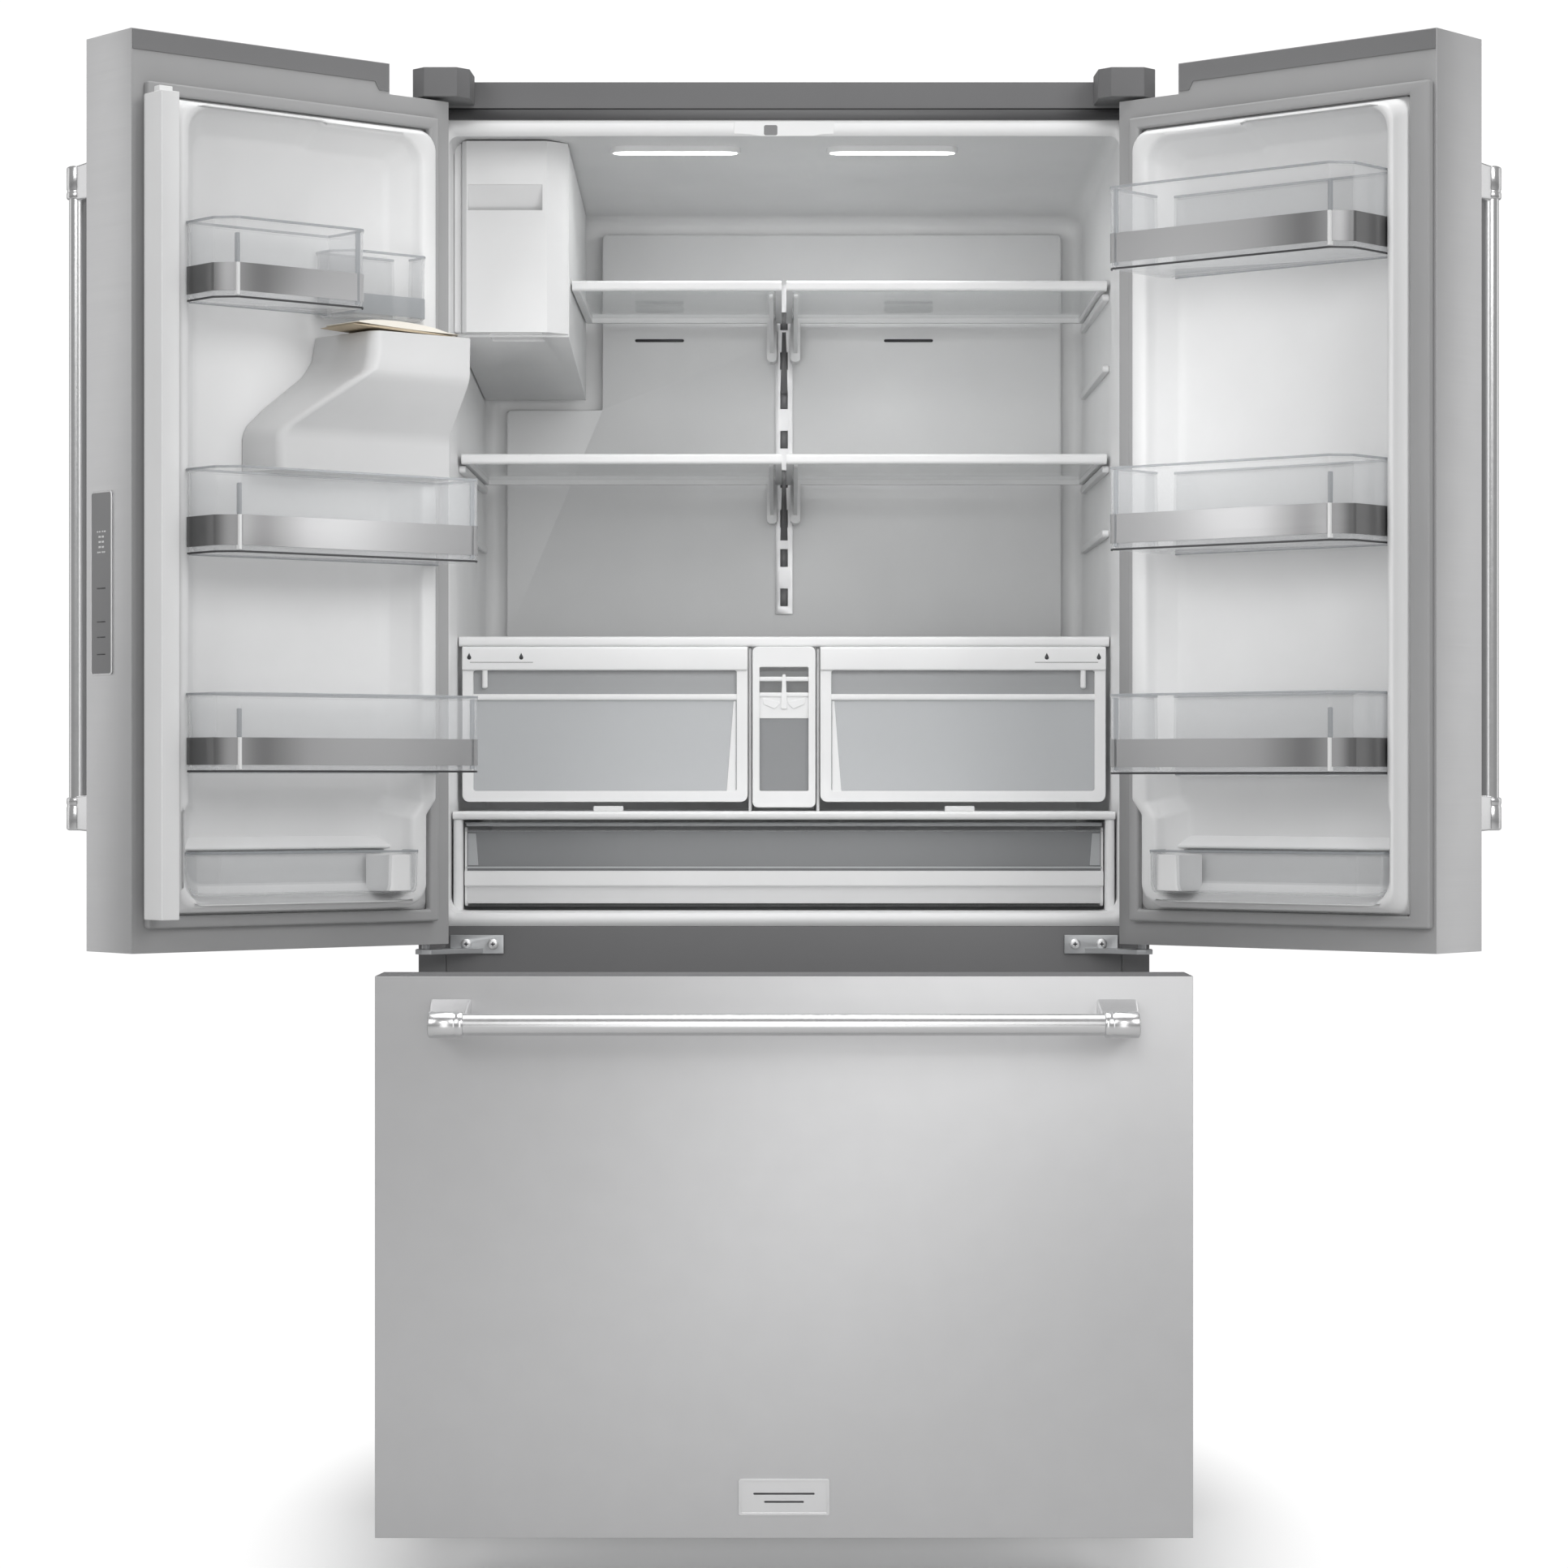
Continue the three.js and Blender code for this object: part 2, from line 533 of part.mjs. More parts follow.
// Freezer basket: a deep tub between two arms that run on the liner's rails.
function freezerBasket() {
  const tub = taper([-372, 372, 108, 330], 42, [-372, 372, 108, 330], 425);
  const hollow = taper([-369, 369, 111, 331], 45, [-369, 369, 111, 331], 422);
  const rim = cut(block(-402, 402, 38, 428, 322, 330), block(-369, 369, 45, 422, 300, 331));
  const arms = [[-402, -396], [396, 402]].map(([x0, x1]) => block(x0, x1, 30.4, 428, 302, 330));
  return join(cut(tub, hollow), rim, ...arms);
}

// ---------------------------------------------------------------- assembly

const cabinet = group(
  meshOf("outer_wrapper", outerWrapper(), STAINLESS),
  meshOf("rear_panel", rearPanel(), GALVANISED),
  meshOf("base_pan", basePan(), GALVANISED),
  meshOf("levelling_feet", levellingFeet(), BLACK),
  meshOf("base_grille", baseGrille(), DARK),
  meshOf("mullion_bar", mullionBar(), PAINTED_GREY),
  meshOf("left_top_hinge", topHinge(), PAINTED_GREY),
  meshOf("left_bottom_hinge", bottomHinge(), GALVANISED),
  mirrored(
    meshOf("right_top_hinge", topHinge(), PAINTED_GREY),
    meshOf("right_bottom_hinge", bottomHinge(), GALVANISED),
  ),
  meshOf("fresh_food_liner", freshFoodLiner(), WHITE),
  meshOf("evaporator_cover", evaporatorCover(), WHITE),
  meshOf("evaporator_coil", evaporatorCoil(), GALVANISED),
  meshOf("shelf_rack", shelfRack(), GALVANISED),
  meshOf("upper_left_shelf", shelf(-269, -3, 1543, 13), CLEAR),
  meshOf("upper_right_shelf", shelf(3, 409.5, 1543, 13), CLEAR),
  meshOf("lower_left_shelf", shelf(-409.5, -3, 1323, 13), CLEAR),
  meshOf("lower_right_shelf", shelf(3, 409.5, 1323, 13), CLEAR),
  meshOf("crisper_cover", crisperCover(), CLEAR),
  meshOf("deck_shelf", deckShelf(), WHITE),
  meshOf("ice_maker_housing", iceMakerHousing(), WHITE),
  meshOf("ice_bin", iceBin(), WHITE),
  meshOf("left_crisper", crisperDrawer(), CLEAR),
  meshOf("left_humidity_slider", humiditySlider(), WHITE),
  mirrored(
    meshOf("right_crisper", crisperDrawer(), CLEAR),
    meshOf("right_humidity_slider", humiditySlider(), WHITE),
  ),
  meshOf("centre_drawer", centreDrawer(), CLEAR),
  meshOf("pantry_drawer", pantryDrawer(), CLEAR),
  meshOf("freezer_liner", freezerLiner(), WHITE),
  meshOf("rear_rollers", rearRollers(), BLACK),
);

const compressorCan = meshOf("compressor", compressor(), BLACK);
compressorCan.position.set(-230, 535, PAN_Z + 3 + GAP);
const condenserFan = meshOf("condenser_fan", fan(75, 24, 5), DARK);
condenserFan.position.set(120, 535, 150);
condenserFan.rotation.y = Math.PI / 2;
const evaporatorFan = meshOf("evaporator_fan", fan(60, 11, 5), DARK);
evaporatorFan.position.set(0, 554, 1470);
evaporatorFan.rotation.x = Math.PI / 2;
cabinet.add(compressorCan, condenserFan, evaporatorFan);

// A door hung on its pivot line and turned to where it stands open.
function hungDoor(...pieces) {
  const door = group(...pieces);
  door.position.set(-PIVOT.s, -PIVOT.q, 0);
  const pivot = group(door);
  pivot.position.set(-PIVOT.x, PIVOT.y, 0);
  pivot.rotation.z = -THREE.MathUtils.degToRad(DOOR_OPEN);
  return pivot;
}

function doorHandle(name) {
  const bar = meshOf(name, handle(DOOR_HANDLE.bottom, DOOR_HANDLE.top), POLISHED);
  bar.position.set(DOOR_HANDLE.s, -DOOR.thick, 0);
  return bar;
}

function placedBin(name, z, ...size) {
  const tub = meshOf(name, doorBin(...size), CLEAR);
  tub.position.z = z;
  return tub;
}

const flipper = meshOf("flipper_bar", flipperBar(), WHITE);
flipper.position.set(FLIPPER.s, FLIPPER.q, 0);

const niche = dispenserNiche();
const leftDoor = hungDoor(
  meshOf("left_door_skin", cut(doorSkin(419.5), block(79, 291, -101, -90, 974, 1291)), STAINLESS),
  meshOf("left_door_liner", leftDoorLiner(), WHITE),
  meshOf("left_door_gasket", doorGasket(434, 420), GASKET),
  doorHandle("left_door_handle"),
  meshOf("control_panel", controlPanel(), DARK),
  meshOf("dispenser_niche", niche, DARK),
  meshOf("dispenser_paddle", dispenserPaddle(), BLACK),
  meshOf("ice_chute", iceChute(), WHITE),
  flipper,
  placedBin("left_top_bin", 1472, 205, 402, RIM + 1.5, 120, 94),
  placedBin("left_side_bin", 1471, 74, 200, 8, 60, 80),
  placedBin("left_middle_bin", 1181, 43, 402, RIM + 1.5, 124, 100),
  placedBin("left_lower_bin", 930, 43, 402, RIM + 1.5, 124, 92),
  placedBin("left_bottom_bin", 786, 86, 389, 8, 62, 52),
);

const rightDoor = mirrored(hungDoor(
  meshOf("right_door_skin", doorSkin(419.5), STAINLESS),
  meshOf("right_door_liner", doorLiner(419.5, 417, 408), WHITE),
  meshOf("right_door_gasket", doorGasket(447, 420), GASKET),
  doorHandle("right_door_handle"),
  placedBin("right_upper_bin", 1528, 72.5, 404, 8, 124, 100),
  placedBin("right_middle_bin", 1194, 72.5, 404, 8, 124, 100),
  placedBin("right_lower_bin", 928, 72.5, 404, 8, 124, 96),
  placedBin("right_bottom_bin", 786, 86, 402, 8, 62, 52),
));

// The drawer's handle is the door handle laid on its side.
const drawerHandle = meshOf("drawer_handle", handle(-DRAWER_HANDLE.half, DRAWER_HANDLE.half), POLISHED);
drawerHandle.rotation.y = Math.PI / 2;
drawerHandle.position.set(0, -DRAWER.thick, DRAWER_HANDLE.z);

const drawer = group(
  meshOf("drawer_skin", drawerSkin(), STAINLESS),
  meshOf("drawer_liner", drawerLiner(), WHITE),
  meshOf("drawer_gasket", drawerGasket(), GASKET),
  drawerHandle,
  meshOf("freezer_basket", freezerBasket(), CLEAR),
);
drawer.position.y = -DOOR.standoff - DRAWER.out;

const refrigerator = group(cabinet, leftDoor, rightDoor, drawer);
refrigerator.position.y = -(FRONT_Y + BACK_Y) / 2;

export default group(refrigerator);
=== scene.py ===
import json
import math

import bmesh
import bpy
from mathutils import Matrix, Vector


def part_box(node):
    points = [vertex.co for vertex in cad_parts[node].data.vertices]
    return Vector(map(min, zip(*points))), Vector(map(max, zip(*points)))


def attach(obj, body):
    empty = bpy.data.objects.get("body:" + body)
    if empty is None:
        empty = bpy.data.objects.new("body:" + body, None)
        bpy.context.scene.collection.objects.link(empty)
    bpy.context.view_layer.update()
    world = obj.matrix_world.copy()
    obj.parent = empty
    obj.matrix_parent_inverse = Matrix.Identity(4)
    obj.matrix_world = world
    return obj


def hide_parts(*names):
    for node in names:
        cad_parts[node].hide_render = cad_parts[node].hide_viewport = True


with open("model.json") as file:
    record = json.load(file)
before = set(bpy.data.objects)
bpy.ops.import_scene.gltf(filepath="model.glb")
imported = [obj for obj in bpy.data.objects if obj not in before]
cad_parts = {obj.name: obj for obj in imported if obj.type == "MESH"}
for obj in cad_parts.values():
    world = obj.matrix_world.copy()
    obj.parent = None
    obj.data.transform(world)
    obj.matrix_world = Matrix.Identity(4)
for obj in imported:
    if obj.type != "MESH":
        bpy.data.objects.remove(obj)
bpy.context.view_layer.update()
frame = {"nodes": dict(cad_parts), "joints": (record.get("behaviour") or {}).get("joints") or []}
JOINTS = {joint["name"]: joint for joint in frame["joints"]}
MM = 0.001

# ---------------------------------------------------------------- axes


PIN_ALONG, PIN_ACROSS = 14, -28.5  # hinge pin in a door's own axes, mm


def door_axes():
    """Left door: x runs from the hinge edge to the free edge, y = 0 is the inner face, +y goes inwards."""
    hinge = JOINTS["left_door_hinge"]
    x, y, _ = hinge["pos_m"]
    swing = Matrix.Rotation(-math.radians(hinge["range_deg"][1]), 4, "Z")
    pin = Matrix.Translation((-PIN_ALONG * MM, -PIN_ACROSS * MM, 0))
    return Matrix.Translation((x, y, 0)) @ swing @ pin @ Matrix.Scale(MM, 4)


MIRROR = Matrix.Scale(-1, 4, (1, 0, 0))
CABINET = Matrix.Translation((0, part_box("outer_wrapper")[0].y, 0)) @ Matrix.Scale(MM, 4)
CABINET_MIRROR = MIRROR @ CABINET
LEFT = door_axes()
RIGHT = MIRROR @ LEFT
DRAWER = Matrix.Translation((0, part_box("drawer_skin")[1].y, 0)) @ Matrix.Scale(MM, 4)


def extent(node, axes):
    """Lowest and highest x, y and z of a CAD node, in millimetres in the given axes."""
    back = axes.inverted()
    points = [back @ v.co for v in frame["nodes"][node].data.vertices]
    return [pick(p[i] for p in points) for i in range(3) for pick in (min, max)]


# ---------------------------------------------------------------- outlines and shapes


def rect(a0, a1, b0, b1, margin=0.0):
    """Corners of a rectangle drawn in by margin on every side."""
    a0, a1, b0, b1 = a0 + margin, a1 - margin, b0 + margin, b1 - margin
    return [(a0, b0), (a1, b0), (a1, b1), (a0, b1)]


def inset(corners, distance):
    """An anticlockwise outline moved inwards by a distance."""
    inward = []
    for i, corner in enumerate(corners):
        side = (Vector(corners[(i + 1) % len(corners)]) - Vector(corner)).normalized()
        inward.append(Vector((-side.y, side.x)))
    moved = []
    for i, corner in enumerate(corners):
        before, after = inward[i - 1], inward[i]
        moved.append(tuple(Vector(corner) + (before + after) * (distance / (1 + before.dot(after)))))
    return moved


def fillet(corners, radius, steps=5):
    """An outline with its corners rounded. The radius is one number, or one for each corner."""
    radii = radius if isinstance(radius, (list, tuple)) else [radius] * len(corners)
    points = []
    for i, (corner, r) in enumerate(zip(corners, radii)):
        here = Vector(corner)
        before = (Vector(corners[i - 1]) - here).normalized()
        after = (Vector(corners[(i + 1) % len(corners)]) - here).normalized()
        half = before.angle(after) / 2
        centre = here + (before + after).normalized() * (r / math.sin(half))
        start = here + before * (r / math.tan(half)) - centre
        end = here + after * (r / math.tan(half)) - centre
        for k in range(steps + 1):
            spoke = start.lerp(end, k / steps)
            spoke = spoke.normalized() * r if r > 0 else spoke
            points.append(tuple(centre + spoke))
    return points


def ring(axis, outline, at):
    """A flat outline placed across an axis. Its coordinates are (y, z), (x, z) or (x, y)."""
    if axis == "x":
        return [(at, a, b) for a, b in outline]
    if axis == "y":
        return [(a, at, b) for a, b in outline]
    return [(a, b, at) for a, b in outline]


def loft(rings, closed=False):
    """Skin over a row of rings with the same number of points, capped at both ends or closed on itself."""
    n = len(rings[0])
    verts = [point for one in rings for point in one]
    faces = []
    for a in range(len(rings) if closed else len(rings) - 1):
        b = (a + 1) % len(rings)
        faces += [(a * n + i, a * n + (i + 1) % n, b * n + (i + 1) % n, b * n + i) for i in range(n)]
    if not closed:
        faces += [tuple(range(n)), tuple(range((len(rings) - 1) * n, len(rings) * n))]
    return verts, faces


def prism(axis, outline, start, end):
    return loft([ring(axis, outline, start), ring(axis, outline, end)])


def block(x0, x1, y0, y1, z0, z1):
    return prism("z", rect(x0, x1, y0, y1), z0, z1)


def hoop(axis, outer, inner, start, end):
    """A frame between two outlines with the same number of points."""
    return loft([ring(axis, outer, start), ring(axis, outer, end), ring(axis, inner, end),
                 ring(axis, inner, start)], closed=True)


def rod(axis, centre, radius, start, end, sides=48):
    a, b = centre
    circle = [(a + radius * math.cos(2 * math.pi * i / sides), b + radius * math.sin(2 * math.pi * i / sides))
              for i in range(sides)]
    return prism(axis, circle, start, end)


def turned(axis, centre, profile, sides=48):
    """A round bar along an axis from a list of (radius, place) steps."""
    a, b = centre
    rings = []
    for radius, at in profile:
        circle = [(a + radius * math.cos(2 * math.pi * i / sides), b + radius * math.sin(2 * math.pi * i / sides))
                  for i in range(sides)]
        rings.append(ring(axis, circle, at))
    return loft(rings)


def join(*shapes):
    verts, faces = [], []
    for more_verts, more_faces in shapes:
        start = len(verts)
        verts += more_verts
        faces += [tuple(start + i for i in face) for face in more_faces]
    return verts, faces


# ---------------------------------------------------------------- materials

MATERIALS = {}


def new_material(name, slot, colour, roughness, metallic=0.0):
    made = bpy.data.materials.new(name)
    made.use_nodes = True
    shader = made.node_tree.nodes["Principled BSDF"]
    shader.inputs["Base Color"].default_value = (*colour, 1)
    shader.inputs["Roughness"].default_value = roughness
    shader.inputs["Metallic"].default_value = metallic
    MATERIALS[name] = (made, slot)
    return made, shader


def grain(made, scale, turn=0.0, detail=4.0):
    """Noise in the object's own coordinates, stretched by a scale for each axis and turned about z."""
    nodes, links = made.node_tree.nodes, made.node_tree.links
    coords = nodes.new("ShaderNodeTexCoord")
    mapping = nodes.new("ShaderNodeMapping")
    mapping.vector_type = "TEXTURE"
    mapping.inputs["Rotation"].default_value[2] = turn
    mapping.inputs["Scale"].default_value = [1 / s for s in scale]
    noise = nodes.new("ShaderNodeTexNoise")
    noise.inputs["Scale"].default_value = 1.0
    noise.inputs["Detail"].default_value = detail
    links.new(coords.outputs["Object"], mapping.inputs["Vector"])
    links.new(mapping.outputs["Vector"], noise.inputs["Vector"])
    return noise


def tones(made, noise, low, high, socket):
    """The noise spread between two tones (or two values), into a socket of the shader."""
    nodes, links = made.node_tree.nodes, made.node_tree.links
    if isinstance(low, tuple):
        ramp = nodes.new("ShaderNodeValToRGB")
        ramp.color_ramp.elements[0].position = 0.3
        ramp.color_ramp.elements[1].position = 0.7
        ramp.color_ramp.elements[0].color = (*low, 1)
        ramp.color_ramp.elements[1].color = (*high, 1)
        links.new(noise.outputs["Fac"], ramp.inputs["Fac"])
        links.new(ramp.outputs["Color"], socket)
        return
    spread = nodes.new("ShaderNodeMapRange")
    spread.inputs["From Min"].default_value = 0.3
    spread.inputs["From Max"].default_value = 0.7
    spread.inputs["To Min"].default_value = low
    spread.inputs["To Max"].default_value = high
    links.new(noise.outputs["Fac"], spread.inputs["Value"])
    links.new(spread.outputs["Result"], socket)


def rough_bump(made, noise, shader, strength, distance):
    nodes, links = made.node_tree.nodes, made.node_tree.links
    bump = nodes.new("ShaderNodeBump")
    bump.inputs["Strength"].default_value = strength
    bump.inputs["Distance"].default_value = distance
    links.new(noise.outputs["Fac"], bump.inputs["Height"])
    links.new(bump.outputs["Normal"], shader.inputs["Normal"])


def scaled(colour, factor):
    return tuple(min(1.0, c * factor) for c in colour)


def plastic(name, slot, colour, roughness, mottle=0.02, pitch=900, bump=0.00004):
    """Moulded plastic or paint: a faint cloud in the colour and a fine pebble in the surface."""
    made, shader = new_material(name, slot, colour, roughness)
    cloud = grain(made, (9, 9, 9))
    tones(made, cloud, scaled(colour, 1 - mottle), scaled(colour, 1 + mottle), shader.inputs["Base Color"])
    pebble = grain(made, (pitch, pitch, pitch), detail=2.0)
    rough_bump(made, pebble, shader, 0.25, bump)
    return made


def brushed(name, slot, colour, roughness, turn=0.0, along=6, across=900, bump=0.000008, mottle=0.012):
    """Brushed metal: fine lines that run level along the sheet and vary its gloss, over a fine cloud."""
    made, shader = new_material(name, slot, colour, roughness[0], 1.0)
    cloud = grain(made, (24, 24, 24), detail=9.0)
    tones(made, cloud, scaled(colour, 1 - mottle), scaled(colour, 1 + mottle), shader.inputs["Base Color"])
    lines = grain(made, (along, along, across), turn, 6.0)
    tones(made, lines, roughness[0], roughness[1], shader.inputs["Roughness"])
    if bump:
        rough_bump(made, lines, shader, 0.3, bump)
    return made


def painted_reflection_strip(name, slot, axes, stops):
    """Polished strip with a painted reflection: its base colour goes light and dark along the door where a real band
    would mirror the room. A stop is (place in mm along the door, tone).
    """
    made, shader = new_material(name, slot, (0.6, 0.6, 0.6), 0.24, 0.45)
    nodes, links = made.node_tree.nodes, made.node_tree.links
    mirrored = axes.determinant() < 0
    turn = (axes @ MIRROR if mirrored else axes).to_euler().z
    coords = nodes.new("ShaderNodeTexCoord")
    mapping = nodes.new("ShaderNodeMapping")
    mapping.vector_type = "TEXTURE"
    mapping.inputs["Location"].default_value = axes.translation
    mapping.inputs["Rotation"].default_value[2] = turn
    mapping.inputs["Scale"].default_value = (-MM if mirrored else MM, MM, MM)
    split = nodes.new("ShaderNodeSeparateXYZ")
    share = nodes.new("ShaderNodeMapRange")
    share.inputs["From Max"].default_value = 450
    ramp = nodes.new("ShaderNodeValToRGB")
    ramp.color_ramp.interpolation = "B_SPLINE"
    elements = ramp.color_ramp.elements
    for place, tone in stops:
        element = elements.new(place / 450)
        element.color = (tone, tone, tone * 1.01, 1)
    elements.remove(elements[0])
    elements.remove(elements[-1])
    links.new(coords.outputs["Object"], mapping.inputs["Vector"])
    links.new(mapping.outputs["Vector"], split.inputs["Vector"])
    links.new(split.outputs["X"], share.inputs["Value"])
    links.new(share.outputs["Result"], ramp.inputs["Fac"])
    links.new(ramp.outputs["Color"], shader.inputs["Base Color"])
    lines = grain(made, (4, 4, 900), turn, 6.0)
    tones(made, lines, 0.2, 0.26, shader.inputs["Roughness"])
    return made


def clear(name, slot, colour, roughness, facing, grazing):
    """Clear moulding: denser where the surface turns away, with a faint flow pattern in the gloss."""
    made, shader = new_material(name, slot, colour, roughness)
    nodes, links = made.node_tree.nodes, made.node_tree.links
    weight = nodes.new("ShaderNodeLayerWeight")
    weight.inputs["Blend"].default_value = 0.35
    spread = nodes.new("ShaderNodeMapRange")
    spread.inputs["To Min"].default_value = facing
    spread.inputs["To Max"].default_value = grazing
    links.new(weight.outputs["Facing"], spread.inputs["Value"])
    links.new(spread.outputs["Result"], shader.inputs["Alpha"])
    flow = grain(made, (14, 14, 14))
    tones(made, flow, roughness, roughness + 0.06, shader.inputs["Roughness"])
    rough_bump(made, flow, shader, 0.1, 0.0006)
    return made


def glowing(name, slot, colour, strength):
    """Frosted cover of a light strip, with a faint random cloud in its colour."""
    made, shader = new_material(name, slot, colour, 0.5)
    cloud = grain(made, (30, 30, 30))
    tones(made, cloud, scaled(colour, 0.97), colour, shader.inputs["Base Color"])
    shader.inputs["Emission Color"].default_value = (*colour, 1)
    shader.inputs["Emission Strength"].default_value = strength
    return made


DOOR_TURN = math.radians(JOINTS["left_door_hinge"]["range_deg"][1])

brushed("steel", "stainless", (0.66, 0.66, 0.665), (0.41, 0.44), bump=0.000003)
brushed("steel_left", "stainless", (0.66, 0.66, 0.665), (0.36, 0.42), -DOOR_TURN)
brushed("steel_right", "stainless", (0.66, 0.66, 0.665), (0.36, 0.42), DOOR_TURN)
brushed("chrome", "polished", (0.74, 0.74, 0.745), (0.22, 0.26), 0.0, 200, 200, 0)
# Painted reflection on the bins' silver bands: light and dark tones across the door's width.
PAINTED_REFLECTION_TONES = [(40, 0.40), (80, 0.42), (150, 0.54), (220, 0.56), (290, 0.52), (335, 0.26), (360, 0.24), (384, 0.46),
              (393, 0.46), (401, 0.12)]
painted_reflection_strip("band_left", "polished", LEFT, PAINTED_REFLECTION_TONES)
painted_reflection_strip("band_right", "polished", RIGHT, PAINTED_REFLECTION_TONES)
brushed("zinc", "zinc_plated", (0.52, 0.53, 0.54), (0.34, 0.48), 0.0, 40, 40)
brushed("zinc_pale", "zinc_plated", (0.84, 0.84, 0.845), (0.45, 0.6), 0.0, 40, 40)
brushed("fins", "aluminium_fins", (0.70, 0.71, 0.72), (0.32, 0.44), 0.0, 300, 20)
plastic("grey_paint", "painted_grey", (0.15, 0.15, 0.153), 0.5)
plastic("pale_paint", "painted_grey", (0.36, 0.36, 0.363), 0.5)
plastic("cap_paint", "painted_grey", (0.19, 0.19, 0.193), 0.5)
plastic("dark_paint", "painted_grey", (0.11, 0.11, 0.112), 0.5)
plastic("white", "white_plastic", (0.80, 0.802, 0.804), 0.36)
# Lighter copy of the white plastic: painted light that evens out the air duct panel.
plastic("lit_panel_white", "white_plastic", (0.84, 0.842, 0.844), 0.4)
# Darker copy of the white plastic: painted shade for the ice bin's grip recess.
plastic("painted_shade_recess_white", "white_plastic", (0.72, 0.722, 0.724), 0.45)
# Darker copy of the white plastic: painted shade over the ice chute hood.
plastic("shaded_chute_white", "white_plastic", (0.58, 0.582, 0.584), 0.42)
plastic("grey_plastic", "dark_plastic", (0.22, 0.22, 0.224), 0.4)
plastic("dark", "dark_plastic", (0.045, 0.045, 0.048), 0.38)
plastic("seal_grey", "seal", (0.50, 0.50, 0.505), 0.75)
plastic("door_seal", "seal", (0.36, 0.36, 0.363), 0.75)
plastic("seal_cream", "seal", (0.76, 0.73, 0.66), 0.6)
plastic("seal_tan", "seal", (0.46, 0.38, 0.27), 0.6)
plastic("black_paint", "black_paint", (0.02, 0.02, 0.021), 0.4)
plastic("rubber", "black_rubber", (0.03, 0.03, 0.031), 0.7)
clear("bin_clear", "clear_plastic", (0.80, 0.812, 0.825), 0.05, 0.07, 0.7)
clear("rim_clear", "clear_plastic", (0.42, 0.44, 0.46), 0.05, 0.45, 0.9)
clear("window_clear", "clear_plastic", (0.40, 0.41, 0.42), 0.12, 0.5, 0.8)
clear("window_pale", "clear_plastic", (0.66, 0.675, 0.69), 0.12, 0.62, 0.85)
clear("window_upper", "clear_plastic", (0.52, 0.53, 0.54), 0.12, 0.55, 0.85)
clear("glass", "shelf_glass", (0.70, 0.73, 0.73), 0.03, 0.10, 0.6)
glowing("led", "white_plastic", (1.0, 1.0, 1.0), 9.0)

# ---------------------------------------------------------------- pieces


def soften(obj, width, segments=3):
    """Rounds the sharp edges of a piece and keeps its flat faces flat."""
    bevel = obj.modifiers.new("edges", "BEVEL")
    bevel.width = width * MM
    bevel.segments = segments
    bevel.limit_method = "ANGLE"
    bevel.angle_limit = math.radians(35)
    bevel.harden_normals = True


def piece(name, shape, axes, body, finish, bevel=0.8, replaces=()):
    verts, faces = shape
    mesh = bpy.data.meshes.new(name)
    mesh.from_pydata([axes @ Vector(v) for v in verts], [], faces)
    work = bmesh.new()
    work.from_mesh(mesh)
    bmesh.ops.remove_doubles(work, verts=work.verts, dist=1e-6)
    bmesh.ops.recalc_face_normals(work, faces=work.faces)
    for face in work.faces:
        face.smooth = True
    work.to_mesh(mesh)
    work.free()
    obj = bpy.data.objects.new(name, mesh)
    bpy.context.scene.collection.objects.link(obj)
    material, slot = MATERIALS[finish]
    mesh.materials.append(material)
    if bevel:
        soften(obj, bevel)
    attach(obj, body)
    if replaces:
        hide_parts(*replaces)
    return obj


def keep(node, finish, bevel=0.8):
    """A CAD node that stays: its facets are merged, its edges rounded and its material changed."""
    obj = frame["nodes"][node]
    obj.data.materials.clear()
    obj.data.materials.append(MATERIALS[finish][0])
    for face in obj.data.polygons:
        face.material_index = 0
        face.use_smooth = True
    weld = obj.modifiers.new("weld", "WELD")
    weld.merge_threshold = 1e-5
    flat = obj.modifiers.new("flat", "DECIMATE")
    flat.decimate_type = "DISSOLVE"
    flat.angle_limit = math.radians(1)
    if bevel:
        soften(obj, bevel)
    return obj


KEPT = {
    "rear_panel": ("zinc", 0.3), "base_pan": ("zinc", 0.5), "levelling_feet": ("rubber", 1.5),
    "base_grille": ("dark", 0.8), "mullion_bar": ("grey_paint", 1.2), "outer_wrapper": ("grey_paint", 0.4),
    "left_top_hinge": ("grey_paint", 3.0), "right_top_hinge": ("grey_paint", 3.0),
    "left_bottom_hinge": ("zinc", 0.8), "right_bottom_hinge": ("zinc", 0.8),
    "evaporator_coil": ("fins", 0.4), "shelf_rack": ("zinc_pale", 0.5),
    "freezer_liner": ("white", 3.0), "compressor": ("black_paint", 3.0), "rear_rollers": ("rubber", 1.5),
    "evaporator_fan": ("dark", 0.4), "condenser_fan": ("dark", 0.4), "ice_maker_housing": ("white", 5.0),
    "ice_bin": ("white", 3.0), "flipper_bar": ("white", 1.2),
    "left_humidity_slider": ("white", 1.0), "right_humidity_slider": ("white", 1.0),
    "control_panel": ("grey_plastic", 0.5), "dispenser_niche": ("dark", 1.0), "dispenser_paddle": ("dark", 1.2),
    "left_door_gasket": ("door_seal", 3.0), "right_door_gasket": ("door_seal", 3.0),
    "drawer_gasket": ("seal_grey", 3.0), "drawer_liner": ("white", 3.0), "freezer_basket": ("bin_clear", 1.0),
    "drawer_skin": ("steel", 2.0), "left_door_skin": ("steel_left", 2.0), "right_door_skin": ("steel_right", 2.0),
}

for kept_node, (kept_finish, kept_bevel) in KEPT.items():
    keep(kept_node, kept_finish, kept_bevel)


